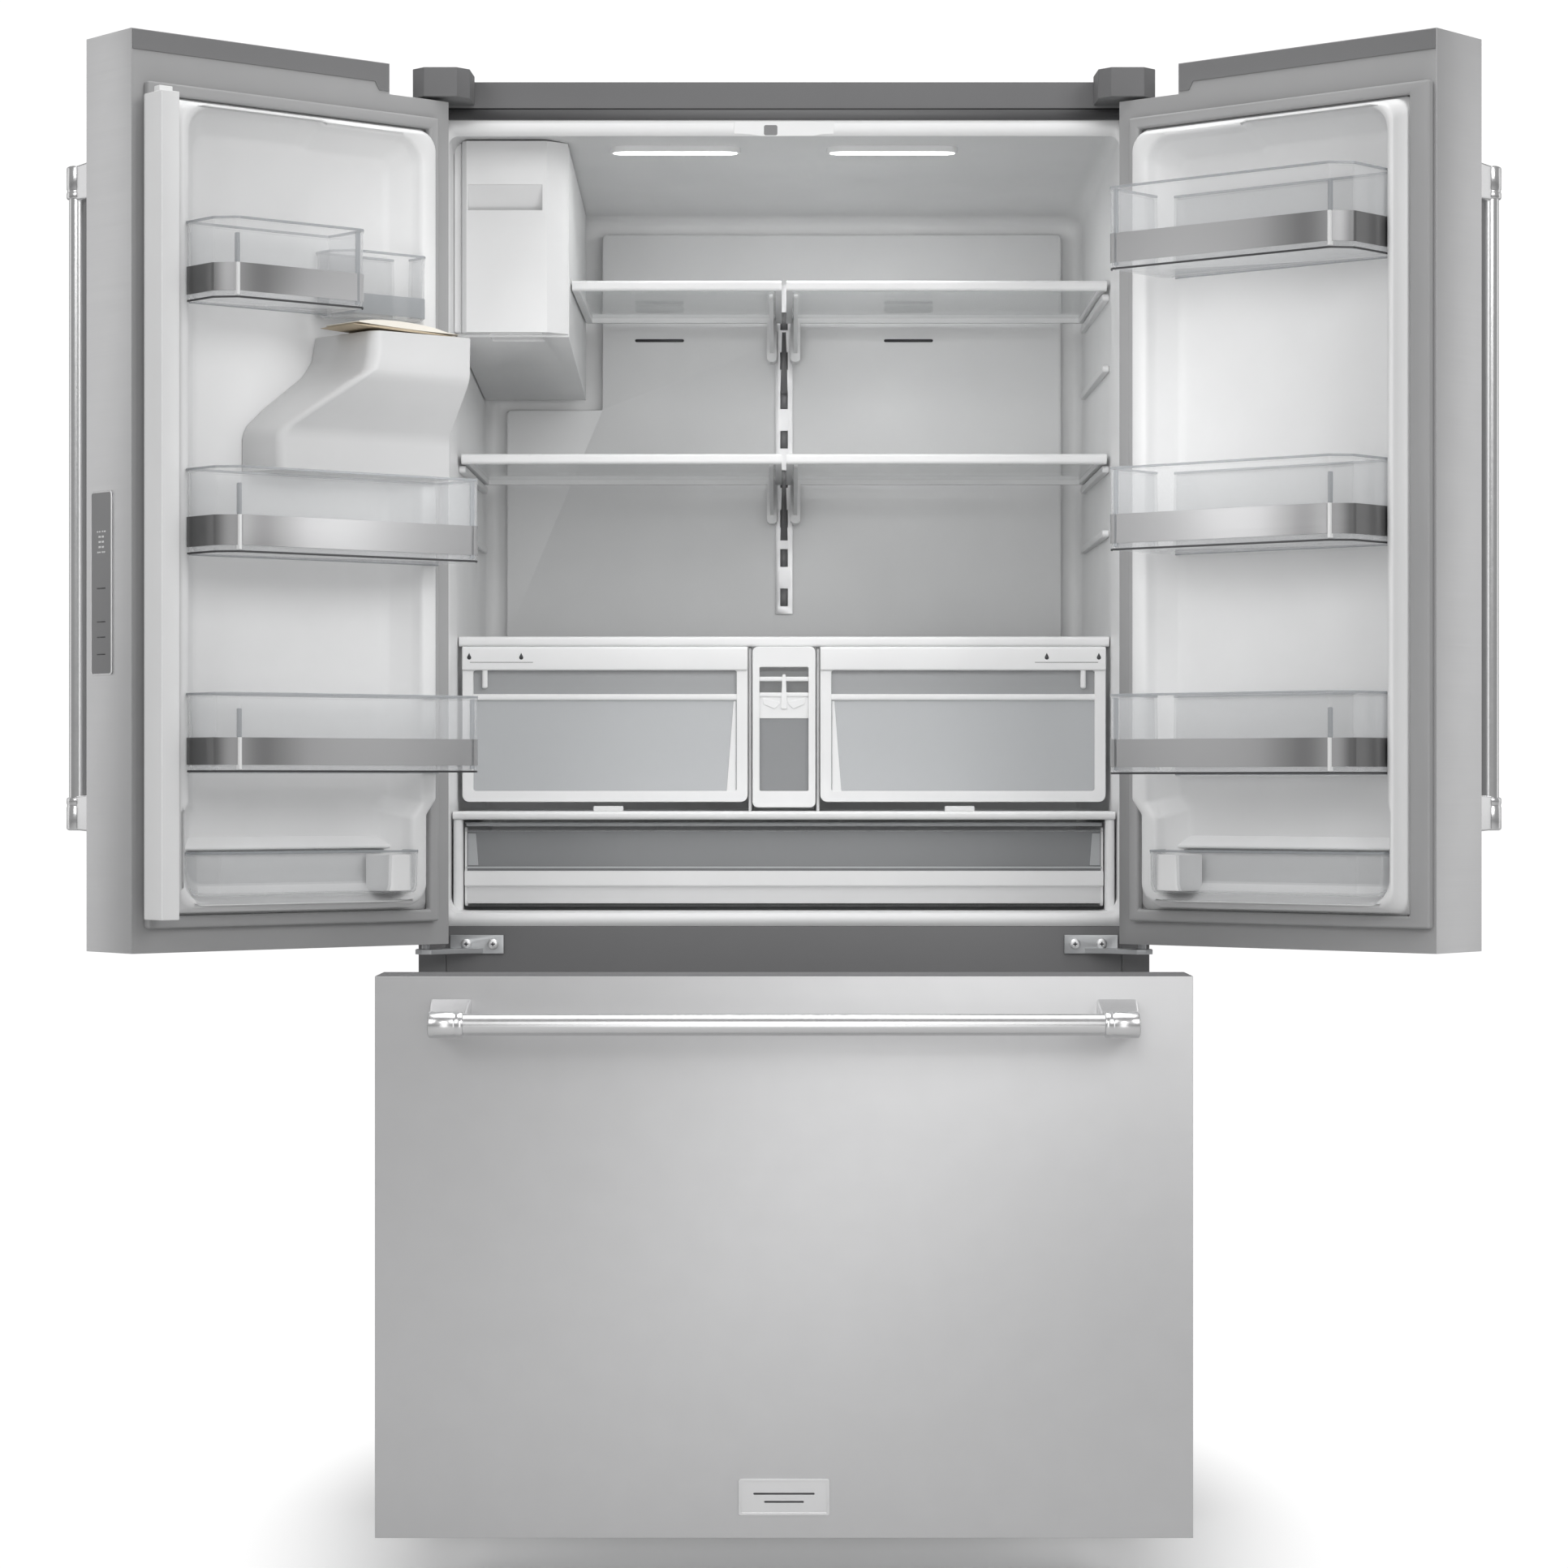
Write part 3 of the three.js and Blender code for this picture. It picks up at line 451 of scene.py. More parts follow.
def face_finish(node, axes, rules):
    """Gives the faces of a kept node other finishes. A rule is (finish, test of the face's centre and normal)."""
    obj = frame["nodes"][node]
    back = axes.inverted()
    turn = back.to_3x3().normalized()
    for finish, test in rules:
        obj.data.materials.append(MATERIALS[finish][0])
        index = len(obj.data.materials) - 1
        for face in obj.data.polygons:
            if test(back @ face.center, turn @ face.normal):
                face.material_index = index


# ---------------------------------------------------------------- cabinet

LINER = {"half": 415.5, "back_half": 410.5, "depth": 560, "floor": 758, "ceiling": 1728, "back_ceiling": 1697,
         "wall": 2.5, "lip": 1720}


def liner_ring(at, grow, radius):
    """A section across the fresh food liner at a depth, moved outwards by an amount."""
    share = at / LINER["depth"]
    half = LINER["half"] + (LINER["back_half"] - LINER["half"]) * share + grow
    top = LINER["ceiling"] + (LINER["back_ceiling"] - LINER["ceiling"]) * share + grow
    corners = rect(-half, half, LINER["floor"] - grow, top)
    return ring("y", fillet(corners, radius, 8), at)


def fresh_food_liner():
    depth, wall = LINER["depth"], LINER["wall"]
    _, _, _, _, low, high = extent("fresh_food_liner", CABINET)
    mouth = rect(-LINER["half"], LINER["half"], LINER["floor"] - 1, LINER["lip"])
    flange = rect(-LINER["half"] - 2, LINER["half"] + 2, low, high)
    rings = [liner_ring(depth, -14, 16), liner_ring(depth - 4, -4, 22), liner_ring(depth - 14, 0, 26),
             liner_ring(14, 0, 18), ring("y", fillet(mouth, 12, 8), 9), ring("y", fillet(mouth, 12, 8), 0.6),
             ring("y", fillet(flange, 2, 8), 0.2), ring("y", fillet(flange, 2, 8), 2.5),
             liner_ring(14, wall, 20), liner_ring(depth - 14, wall, 28), liner_ring(depth + 2, -4, 22)]
    piece("fresh_food_liner_shell", loft(rings), CABINET, "cabinet", "white", 0, ["fresh_food_liner"])


def liner_ledges():
    """Rounded ledges on the side walls that the shelves rest on; the ice maker takes the upper left ones."""
    share = 330 / LINER["depth"]
    wall = LINER["half"] + (LINER["back_half"] - LINER["half"]) * share
    for side, levels in ((-1, (1322, 1240)), (1, (1541, 1450, 1322, 1240))):
        for z in levels:
            outline = fillet(rect(140, 520, z - 9, z), 4.4)
            x0, x1 = sorted((side * (wall - 7.5), side * (wall + 1.5)))
            piece(f"ledge_{'left' if side < 0 else 'right'}_{z}", prism("x", outline, x0, x1), CABINET, "cabinet",
                  "white", 2)


def ceiling_details():
    """Two light strips, and the dipped guide for the flipper bar's nub with its slot."""
    for side, (x0, x1) in (("left", (-216, -59)), ("right", (58, 216))):
        trim = hoop("z", fillet(rect(x0 - 4, x1 + 4, 96, 132), 17.9, 8), fillet(rect(x0, x1, 100, 128), 13.9, 8),
                    1715, 1724)
        piece(f"light_trim_{side}", trim, CABINET, "cabinet", "white", 1)
        strip = prism("z", fillet(rect(x0, x1, 100, 128, 0.2), 13.5, 8), 1716, 1722)
        piece(f"light_strip_{side}", strip, CABINET, "cabinet", "led", 1)
    dip = [(-62, 1737), (-62, 1722), (-44, 1721.5), (-34, 1719.8), (-26, 1719.2), (-6, 1719.2), (36, 1719.4),
           (46, 1721), (62, 1722), (62, 1737)]
    piece("flipper_guide", prism("y", dip, -0.3, 5), CABINET, "cabinet", "white", 0.8)
    # Painted shade: the nub's slot is a grey piece set into the guide, not a cut.
    piece("flipper_guide_slot", prism("y", fillet(rect(-25, -8, 1720, 1733), 2.5), -0.4, 3), CABINET, "cabinet",
          "grey_plastic", 0.4)


def hinge_screws():
    """Domed screws in the plates of the bottom hinges, each with a cross slot drawn as dark blocks of painted shade."""
    for side, axes in (("left", CABINET), ("right", CABINET_MIRROR)):
        for i, x in enumerate((-393, -360)):
            head = turned("y", (x, 719), [(2.6, -8.9), (4.4, -8.7), (6.3, -7.4), (6.6, -6.4), (6.6, -4)])
            piece(f"hinge_screw_{side}_{i}", head, axes, "cabinet", "zinc_pale", 0)
            # Painted shade: the cross slot is two dark blocks on the head, not a cut.
            cross = join(block(x - 2.6, x + 2.6, -9.1, -8.4, 718.3, 719.7),
                         block(x - 0.7, x + 0.7, -9.1, -8.4, 716.4, 721.6))
            piece(f"hinge_slot_{side}_{i}", cross, axes, "cabinet", "dark", 0)


def front_details():
    """Seam and darker strip under the header, the strip beside the ice bin, and painted shade: grey blocks in the
    rack's slots and grey wedges where the shelf hooks sit.
    """
    high = extent("fresh_food_liner", CABINET)[5]
    piece("header_strip", block(-437, 437, -0.5, 0.4, high + 1, 1752), CABINET, "cabinet", "dark_paint", 0)
    piece("header_seam", block(-452, 452, -0.6, 0.4, 1752.2, 1753.6), CABINET, "cabinet", "black_paint", 0)
    piece("ice_maker_cheek", block(-414.6, -404.6, 72, 88, 1484, 1722), CABINET, "cabinet", "white", 2)
    # Painted shade: grey blocks in the rack's slots stand for the shadow inside them.
    slots = [block(-4.9, 4.9, 533.6, 534.6, 1160.2 + 54 * i, 1183.8 + 54 * i) for i in range(8)]
    piece("rack_slots", join(*slots), CABINET, "cabinet", "grey_plastic", 0)
    # Painted shade: grey wedges in the slots that hold the shelf brackets' hooks.
    hook_slot_shades = [prism("y", [(-5, z), (5, z), (2.6, z + 84), (-2.6, z + 84)], 530.4, 531.1) for z in (1250, 1451)]
    piece("rack_hook_slot_shade", join(*hook_slot_shades), CABINET, "cabinet", "grey_plastic", 0)


def evaporator_cover():
    """Air duct panel: a flat moulding with a rounded edge, notched round the ice maker, with four air slots whose shade
    is painted as grey and dark strips.
    """
    x0, x1, y0, y1, z0, z1 = extent("evaporator_cover", CABINET)
    notch_x, notch_z = -249, 1429
    corners = [(x0, z0), (x1, z0), (x1, z1), (notch_x, z1), (notch_x, notch_z), (x0, notch_z)]
    radii = [6, 6, 6, 6, 3, 6]
    near, far = fillet(corners, radii), [ring("y", fillet(corners, radii), y) for y in (y0 + 3, y1)]
    middle_x, middle_z = (x0 + x1) / 2, (z0 + z1) / 2
    face = [(x + (1.6 if x < middle_x else -1.6), z + (1.6 if z < middle_z else -1.6)) for x, z in near]
    # Painted light: the panel is drawn in a lighter copy of the white plastic.
    piece("air_duct_panel", loft([ring("y", face, y0)] + far), CABINET, "cabinet", "lit_panel_white", 0,
          ["evaporator_cover"])
    # Painted shade: the upper slots are lighter grey strips and the lower slots darker strips laid on the panel.
    for i, x in enumerate((-204, 137)):
        for low, high, finish in ((1562, 1572, "seal_grey"), (1522, 1526, "dark")):
            slot = prism("y", fillet(rect(x, x + 67, low, high), (high - low) * 0.45), y0 - 0.5, y0 + 1)
            piece(f"air_slot_{i}_{low}", slot, CABINET, "cabinet", finish, 0)


# ---------------------------------------------------------------- shelves


def glass_shelf(node, name, bracket):
    """White moulded frame with a rounded front, a glass pane and the arm that hooks into the rack."""
    x0, x1, y0, y1, _, z1 = extent(node, CABINET)
    y1 = 506
    z0 = z1 - 13
    outer, inner = rect(x0, x1, y0 + 5, y1), rect(x0 + 8, x1 - 8, y0 + 11, y1 - 11)
    rim = hoop("z", fillet(outer, 3), fillet(inner, 2), z0 + 1, z1)
    front = prism("x", fillet(rect(y0, y0 + 12.5, z0, z1), 4), x0, x1)
    parts = [rim, front]
    if bracket:
        middle = x1 - 13.5 if x0 < 0 else x0 + 12.5
        arm = [(230, z0 + 8), (230, z0 + 3), (470, z0 - 34), (506, z0 - 44), (528, z0 - 44), (528, z0 + 8)]
        parts.append(prism("x", fillet(arm, [2, 6, 30, 12, 3, 2]), middle - 2.5, middle + 2.5))
        boss = [(middle - 6.5, z0 - 52), (middle + 6.5, z0 - 52), (middle + 6.5, z0 + 6), (middle - 6.5, z0 + 6)]
        parts.append(prism("y", fillet(boss, [5, 5, 1, 1]), y1 - 12, y1 + 22))
    frame_piece = piece(name + "_frame", join(*parts), CABINET, "cabinet", "white", 1, [node])
    pane = fillet(rect(x0 + 4, x1 - 4, y0 + 9, y1 - 6), 3)
    piece(name + "_glass", prism("z", pane, z1 - 6, z1 - 1.2), CABINET, "cabinet", "glass", 0.5)
    return frame_piece


def deck():
    x0, x1, y0, y1, z0, z1 = extent("deck_shelf", CABINET)
    top = 882.5
    shelf = prism("x", fillet(rect(y0, y1, z0, top), 4), x0, x1)
    rear = [prism("x", fillet(rect(130, 500, top - 3, z1), [1, 1, 6, 14]), x, x + 4) for x in (-45, 41)]
    piece("deck_panel", join(shelf, *rear), CABINET, "cabinet", "white", 1.2, ["deck_shelf"])
    for side, x in (("left", -412.5), ("right", 401)):
        post = prism("z", fillet(rect(x, x + 11.5, 34, 60), 5), 759, z0)
        piece("pantry_post_" + side, post, CABINET, "cabinet", "white", 0.8)
    for side in (-1, 1):
        x = side * 223
        stop = block(x - 19, x + 19, 125, 131, top - 0.5, 889)
        piece(f"crisper_stop_{side}", stop, CABINET, "cabinet", "white", 1.5)


# ---------------------------------------------------------------- drawers in the compartment


def droplet(x, z, size):
    """A water drop outline, point up."""
    turns = [(x + size * math.cos(a), z + size * math.sin(a))
             for a in (math.radians(150 + 24 * i) for i in range(11))]
    return turns + [(x, z + 2.3 * size)]


def crisper(node, axes):
    """Drawer with a framed window, a clear tub behind it and a latch by the humidity slider."""
    x0, x1, y0, y1, z0, z1 = extent(node, axes)
    header = 1061
    frame_y = 121
    outer = fillet(rect(x0, x1, z0, z1), 9, 6)
    inner = fillet(rect(x0 + 14, x1 - 14, z0 + 14, header), 3, 6)
    top = prism("x", fillet(rect(y0, y0 + 8, header, z1), [2, 1, 1, 4]), x0, x1)
    rail = prism("x", fillet(rect(frame_y + 1, frame_y + 9, 1023, 1031), 2.5), x0 + 10, x1 - 10)
    piece(node + "_frame", join(hoop("y", outer, inner, frame_y, frame_y + 10), top, rail), axes, node, "white", 1.2,
          [node])
    pane = fillet(rect(x0 + 10, x1 - 10, z0 + 10, 1026), 3)
    piece(node + "_window", prism("y", pane, frame_y + 5, frame_y + 7.5), axes, node, "window_pale", 0.4)
    upper = fillet(rect(x0 + 10, x1 - 10, 1030, header + 3), 1)
    piece(node + "_upper_window", prism("y", upper, frame_y + 6, frame_y + 8), axes, node, "window_upper", 0.4)
    slant = [(x1 - 27, z0 + 12), (x1 - 15, z0 + 12), (x1 - 15, 1022), (x1 - 18, 1022)]
    piece(node + "_cheek", prism("y", slant, frame_y + 4.2, frame_y + 6), axes, node, "white", 0.5)
    post = prism("y", fillet(rect(x0 + 25, x0 + 31, 1038, header + 2), 2), frame_y + 2, frame_y + 7)
    piece(node + "_latch", post, axes, node, "white", 0.8)
    levels = [(z0 + 2, 10, 12), (z0 + 8, 4, 8), (1052, 0, 6), (1056, 0, 6)]
    base = rect(x0 + 7, x1 - 7, frame_y + 9, y1)
    outside = [ring("z", fillet(inset(base, d), r), z) for z, d, r in levels]
    inside = [ring("z", fillet(inset(base, d + 2.5), max(r - 2, 1)), z + (2.5 if z < header - 20 else 0))
              for z, d, r in reversed(levels)]
    piece(node + "_tub", loft(outside + inside), axes, node, "bin_clear", 0.4)
    for x, size in ((x0 + 9, 2.6), (x0 + 75, 2.6)):
        piece(f"{node}_mark_{int(x - x0)}", prism("y", droplet(x, 1077, size), y0 - 0.25, y0 + 0.5), axes, node,
              "dark", 0)
    # Painted shade: the groove is a thin grey strip laid on the front, not a cut.
    groove = prism("y", fillet(rect(x0 + 10, x0 + 90, 1070.6, 1071.4), 0.3), y0 - 0.15, y0 + 0.5)
    piece(node + "_groove", groove, axes, node, "grey_plastic", 0)


def centre_drawer():
    node = "centre_drawer"
    x0, x1, y0, y1, z0, z1 = extent(node, CABINET)
    outer = fillet(rect(x0, x1, z0, z1), 7, 6)
    inner = fillet(rect(x0 + 9, x1 - 9, z0 + 21, z1 - 26), 2, 6)
    rails = [prism("x", fillet(rect(y0 + 2, y0 + 8, z - 3, z + 3), 2), x0 + 8, x1 - 8) for z in (1030, 1050)]
    piece("centre_drawer_frame", join(hoop("y", outer, inner, y0, y0 + 10), *rails), CABINET, node, "white", 1.2,
          [node])
    tub = loft([ring("z", fillet(rect(x0 + 2, x1 - 2, y0 + 9, y1, d), 5), z) for z, d in ((z0 + 2, 3), (z0 + 8, 0),
                                                                                      (1060, 0))]
               + [ring("z", fillet(rect(x0 + 2, x1 - 2, y0 + 9, y1, d), 3), z) for z, d in ((1060, 2.5), (z0 + 10, 2.5),
                                                                                        (z0 + 5, 5.5))])
    piece("centre_drawer_tub", tub, CABINET, node, "bin_clear", 0.4)
    lower = fillet(rect(x0 + 6, x1 - 6, z0 + 18, 1000), 2)
    piece("centre_drawer_window", prism("y", lower, y0 + 5, y0 + 7.5), CABINET, node, "window_clear", 0.4)
    clip = prism("y", fillet(rect(x0 + 8, x1 - 8, 1000, 1028), 3), y0 + 4, y0 + 7)
    stem = prism("y", fillet([(-4, 1012), (4, 1012), (2.2, 1056), (-2.2, 1056)], 1.5), y0 + 1.5, y0 + 5)
    wings = []
    for s in (-1, 1):
        wing = [(s * 3, 1020), (s * 12, 1012), (s * 26, 1018), (s * 27, 1026), (s * 14, 1023)][::s]
        wings.append(prism("y", fillet(wing, 2), y0 + 2.5, y0 + 5))
    piece("centre_drawer_clip", join(clip, stem, *wings), CABINET, node, "white", 0.6)


def pantry_drawer():
    node = "pantry_drawer"
    x0, x1, y0, y1, z0, z1 = extent(node, CABINET)
    strip = prism("x", fillet(rect(y0, y0 + 9, 789, 808), 2), x0, x1)
    apron = prism("x", fillet([(y0 + 6, 790), (y0 + 17, z0 + 5), (y0 + 19, z0 + 5), (y0 + 9, 790)], 0.5),
                  x0 + 2, x1 - 2)
    cheeks = [prism("x", fillet(rect(y0 + 4, y1, z0 + 2, z1 - 6), [8, 8, 3, 3]), x, x + 3) for x in (x0, x1 - 3)]
    piece("pantry_strip", join(strip, apron, *cheeks), CABINET, node, "white", 0.8, [node])
    rail = prism("x", fillet(rect(y0 + 2, y0 + 11, z1 - 12, z1), 3.5), x0, x1)
    floor = prism("x", fillet(rect(y0 + 20, y1, z0 + 1, z0 + 4), 1), x0 + 3, x1 - 3)
    back = prism("x", fillet(rect(y1 - 4, y1, z0 + 2, z1), 1), x0 + 3, x1 - 3)
    piece("pantry_tub", join(rail, floor, back), CABINET, node, "bin_clear", 0.8)
    line = prism("x", fillet(rect(y0 + 1.2, y0 + 5, z1 - 5, z1 - 0.5), 1.5), x0 + 2, x1 - 2)
    sill = prism("x", fillet(rect(y0 + 3, y0 + 6, 811, 813.4), 0.8), x0 + 2, x1 - 2)
    piece("pantry_lines", join(line, sill), CABINET, node, "window_pale", 0.3)
    ends = []
    for s in (-1, 1):
        post = [(s * (x1 - 4), 815), (s * (x1 - 17), 815), (s * (x1 - 14), z1 - 14), (s * (x1 - 4), z1 - 14)]
        ends.append(prism("y", post, y0 + 4, y0 + 5.6))
    piece("pantry_ends", join(*ends), CABINET, node, "window_pale", 0.3)
    pane = fillet(rect(x0 + 3, x1 - 3, 806, z1 - 10), 2)
    piece("pantry_window", prism("y", pane, y0 + 5, y0 + 8), CABINET, node, "window_clear", 0.4)


# ---------------------------------------------------------------- doors


def stepped_outline(left, left_low, right, right_low, low, high, high_left):
    """Outline with steps in both sides near the bottom and one in the top edge."""
    return [(left_low, low), (right_low, low), (right_low, 884), (right, 895), (right, high), (216, high),
            (208, high_left), (left, high_left), (left, 895), (left_low, 877)]


# For each door's liner: width of the rim at the free edge, step in its inner side near the bottom, and how much
# of each inset that side is spared, which makes it steep.
FREE_EDGE = {"left_door": (24.5, 6, 0.0), "right_door": (11.5, 3, 0.8)}


def door_liner(node, name, axes, body):
    """Moulded white liner: a flat margin, a rounded rim and the recess inside it."""
    x0, x1, q0, q1, z0, z1 = extent(node, axes)
    rim_width, low_step, spared = FREE_EDGE[body]
    pan_end = x1 - rim_width
    margin = stepped_outline(x0, x0, x1, x1, z0, z1, z1)
    rim = stepped_outline(x0 + 1.5, x0 + 15.5, x1 - 2, x1 - 2, z0 + 1.5, z1 - 1.5, z1 - 1.5)
    pan = stepped_outline(x0 + 33, x0 + 48, pan_end, pan_end + low_step, z0 + 15, z1 - 15, z1 - 19)
    steps = [(margin, 0, 10, q0), (margin, 0, 10, q0 + 2.2), (rim, 0.5, 16, q0 + 2.6), (rim, 7, 22, q1 - 6),
             (rim, 9, 22, q1 - 2), (rim, 12.5, 20, q1), (pan, -5, 34, q1), (pan, -1.5, 31, q1 - 2),
             (pan, 0, 30, q1 - 6), (pan, 3, 28, q1 - 12), (pan, 5, 27, q1 - 15), (pan, 22, 20, q0 + 7),
             (pan, 26, 16, q0 + 4.4), (pan, 34, 12, q0 + 3)]
    rings = []
    for corners, d, r, q in steps:
        soft = min(r, 9)
        radii = [r, r, soft, soft, r, soft, soft, r, soft, soft]
        corners = [(x + spared * d if 1 <= i <= 4 else x, z) for i, (x, z) in enumerate(corners)]
        rings.append(ring("y", fillet(inset(corners, d), radii, 8), q))
    piece(name, loft(rings), axes, body, "white", 0, [node])
    lip = [(q0 + 2, 840), (q0 + 16, 840), (q0 + 16, 843), (q0 + 4, 855), (q0 + 2, 855)]
    lip = prism("x", fillet(lip, [0.5, 2, 3, 3, 0.5]), x0 + 54, pan_end - 2)
    piece(name + "_lip", lip, axes, body, "white", 0.8)


def bin_plan(x0, x1, y0, y1, grow=0.0):
    """Plan of a door bin: square at the back, a soft corner at the hinge end and a slanted one at the other."""
    corners = inset([(x0, y0), (x1, y0), (x1, y1 - 22), (x1 - 20, y1), (x0, y1)], -grow)
    return fillet(corners, [3, 3, 7 + grow, 7 + grow, 10 + grow], 5)


def door_bin(node, axes, body, style):
    """Clear tub with a thin rim. The large bins have a silver band low down, its tone along the door a painted
    reflection, and a dark line under it.
    """
    x0, x1, y0, y1, z0, z1 = extent(node, axes)
    tall = z1 - z0
    walls = [(z0 + 1, -5), (z0 + 3.5, -2), (z0 + 10, -0.6), (z1 - 5, 0), (z1 - 4, 0.8), (z1, 0.8)]
    outside = [ring("z", bin_plan(x0, x1, y0, y1, grow), z) for z, grow in walls]
    inside = [ring("z", bin_plan(x0, x1, y0, y1, grow), z)
              for z, grow in ((z1, -2), (z0 + 12, -3), (z0 + 6, -4.5), (z0 + 3.5, -7))]
    tub = piece(node + "_tub", loft(outside + inside), axes, body, "bin_clear", 0.5, [node])
    rim = hoop("z", bin_plan(x0, x1, y0, y1, 1.1), bin_plan(x0, x1, y0, y1, -2.4), z1 - 2.6, z1 + 0.2)
    piece(node + "_rim", rim, axes, body, "rim_clear", 0.6)
    if style == "low":
        tab = prism("z", fillet(rect(x0 + 9, x0 + 46, y0 + 4, y1 + 0.3), [2, 2, 6, 10]), z0 + 3, z1 - 5)
        piece(node + "_tab", tab, axes, body, "white", 1.5)
    if style == "small":
        base = hoop("z", bin_plan(x0, x1, y0, y1, 0.3), bin_plan(x0, x1, y0, y1, -1), z0 + 5, z0 + 0.36 * tall)
        piece(node + "_base", base, axes, body, "rim_clear", 0.2)
    if style != "painted_reflection_strip":
        return tub
    ridge = prism("z", fillet(rect(x0 + 9, x0 + 15, y1 - 2, y1 + 0.9), 1.3), z0 + 5, z1 - 4)
    piece(node + "_ridge", ridge, axes, body, "rim_clear", 0.4)
    # Painted shadow: a thin dark clear strip along the bin's bottom back edge, where shade falls.
    back = prism("x", fillet(rect(y0 - 0.6, y0 + 1.4, z0 - 0.4, z0 + 1.6), 0.8), x0 + 3, x1 - 3)
    piece(node + "_back_shadow_line", back, axes, body, "rim_clear", 0.3)
    # The band's material carries the painted reflection along the door.
    for tag, finish, low, high, proud in (("band", "band_" + body[:-5], z0 + 9, z0 + 0.44 * tall, 0.9),
                                          ("edge", "dark", z0 + 0.6, z0 + 3, 0.4)):
        outer = bin_plan(x0, x1, y0, y1, proud)
        inner = bin_plan(x0, x1, y0, y1, -0.1)
        front = range(10, 28) if tag == "band" else range(9, len(outer))
        strip = [outer[i] for i in front] + [inner[i] for i in reversed(front)]
        piece(f"{node}_{tag}", prism("z", strip, low, high), axes, body, finish, 0.2)
    crease = [(x1 - 18, y1 + 1.2), (x1 - 21.5, y1 + 1.2), (x1 - 21.5, y1 - 2), (x1 - 17, y1 - 4)]
    piece(node + "_crease", prism("z", crease, z0 + 4, z0 + 0.44 * tall), axes, body, "white", 0.5)
    piece(node + "_fold", prism("z", crease, z0 + 0.44 * tall, z0 + 0.8 * tall), axes, body, "rim_clear", 0.9)
    return tub


BIN_STYLES = {"side": "small", "bottom": "low"}


def ice_chute():
    """Hood over the chute: its underside sweeps back and out to a wide panel, and a curved seal lies on top."""
    x0, x1, _, y1, z0, _ = extent("ice_chute", LEFT)
    top, wall = 1449, 4
    hinge, free = x0 + 11, 196
    # height, hinge-side x, front y there, corner x, front y at the corner, foot x on the liner, corner radius
    levels = [(top, hinge, y1, free, y1, free + 2, 14), (top - 2, hinge - 0.6, y1, free + 1, y1, free + 3, 15),
              (1420, hinge, y1, free + 2, y1, free + 8, 16), (1404, hinge, y1, free + 6, y1, free + 19, 16),
              (1397, hinge, y1 - 2, 208, y1 - 3, 222, 12), (1390, hinge - 1, y1 - 7, 217, y1 - 9, 232, 14),
              (1360, hinge - 5, y1 - 32, 252, y1 - 36, 272, 15), (1338, hinge - 8, y1 - 50, 279, y1 - 54, 296, 15),
              (1330, hinge - 10, y1 - 55, 286, y1 - 57, 300, 14), (1322, x0, y1 - 56, 288, y1 - 58, x1 + 2, 13),
              (z0, x0, y1 - 56, 288, y1 - 58, x1 + 2, 13)]
    rings = [ring("z", fillet([(a, wall), (foot, wall), (corner, deep), (a, front)], [1, 1, r, 4], 7), z)
             for z, a, front, corner, deep, foot, r in levels]
    # Painted shade: the hood is drawn in a darker copy of the white plastic.
    piece("ice_chute_hood", loft(rings), LEFT, "left_door", "shaded_chute_white", 0.8, ["ice_chute"])
    for name, finish, base, crown, low, high in (("ice_chute_seal", "seal_cream", 3, 11, 70, 216),
                                                 ("ice_chute_seal_edge", "seal_tan", 0.2, 3, 68, 224)):
        arch = []
        for i in range(9):
            share = i / 8
            arch.append((low + (high - low) * share, top + base + 5 * share * share))
        roof = [(x, z + (crown - base) * math.sin(math.pi * min(1, 1.1 * (high - x) / (high - low) + 0.02)) ** 0.6)
                for x, z in reversed(arch)]
        piece(name, prism("y", arch + roof, 52, y1 - (1 if base else 3)), LEFT, "left_door", finish, 0.6)


def bar_handle(node, name, axes, body, axis, rise):
    """Tubular handle: a bar, a stepped collar at each end and two posts that rise to one side at the root."""
    e = extent(node, axes)
    low, high = (e[0], e[1]) if axis == "x" else (e[4], e[5])
    across = (e[4] + e[5]) / 2 if axis == "x" else (e[0] + e[1]) / 2
    face = e[3]
    centre_q = face - 57.7
    centre = (centre_q, across) if axis == "x" else (across, centre_q)
    parts = [rod(axis, centre, 12, low + 4, high - 4, 64)]
    for start, sign in ((low, 1), (high, -1)):
        steps = [(12, 2), (14, 3), (14.75, 4.5), (14.75, 29), (14.1, 30), (14.1, 33), (14.75, 34), (14.75, 39),
                 (14, 40.5), (12, 41)]
        parts.append(turned(axis, centre, [(r, start + sign * at) for r, at in steps], 64))
    bar = piece(name, join(*parts), axes, body, "chrome", 0.5, [node])
    for tag, start in (("a", low), ("b", high - 45)):
        rings = []
        for q, half, trim, share in ((face, 13, 0, 1), (face - 20, 12, 1, 0.8), (face - 44, 10.5, 2, 0.1),
                                     (face - 54, 9.5, 3, 0)):
            far = across + half + rise * share
            span = fillet([(across - half, start + trim), (far, start + trim), (far, start + 45 - trim),
                           (across - half, start + 45 - trim)], 3)
            rings.append([(b, q, a) if axis == "x" else (a, q, b) for a, b in span])
        piece(f"{name}_post_{tag}", loft(rings), axes, body, "chrome", 0.8)
    return bar


def door_trim(tag, axes, body):
    """Dark cap along the door's top on its inner face, over the grey flange."""
    _, x1, _, _, _, z1 = extent(tag + "_door_skin", axes)
    cap = [(89.5, z1 - 34), (104, z1 - 34), (110, z1 - 24), (x1 - 1, z1 - 24), (x1 - 1, z1 - 1), (89.5, z1 - 1)]
    piece(tag + "_door_cap", prism("y", cap, 0.2, 1.4), axes, body, "cap_paint", 0.4)


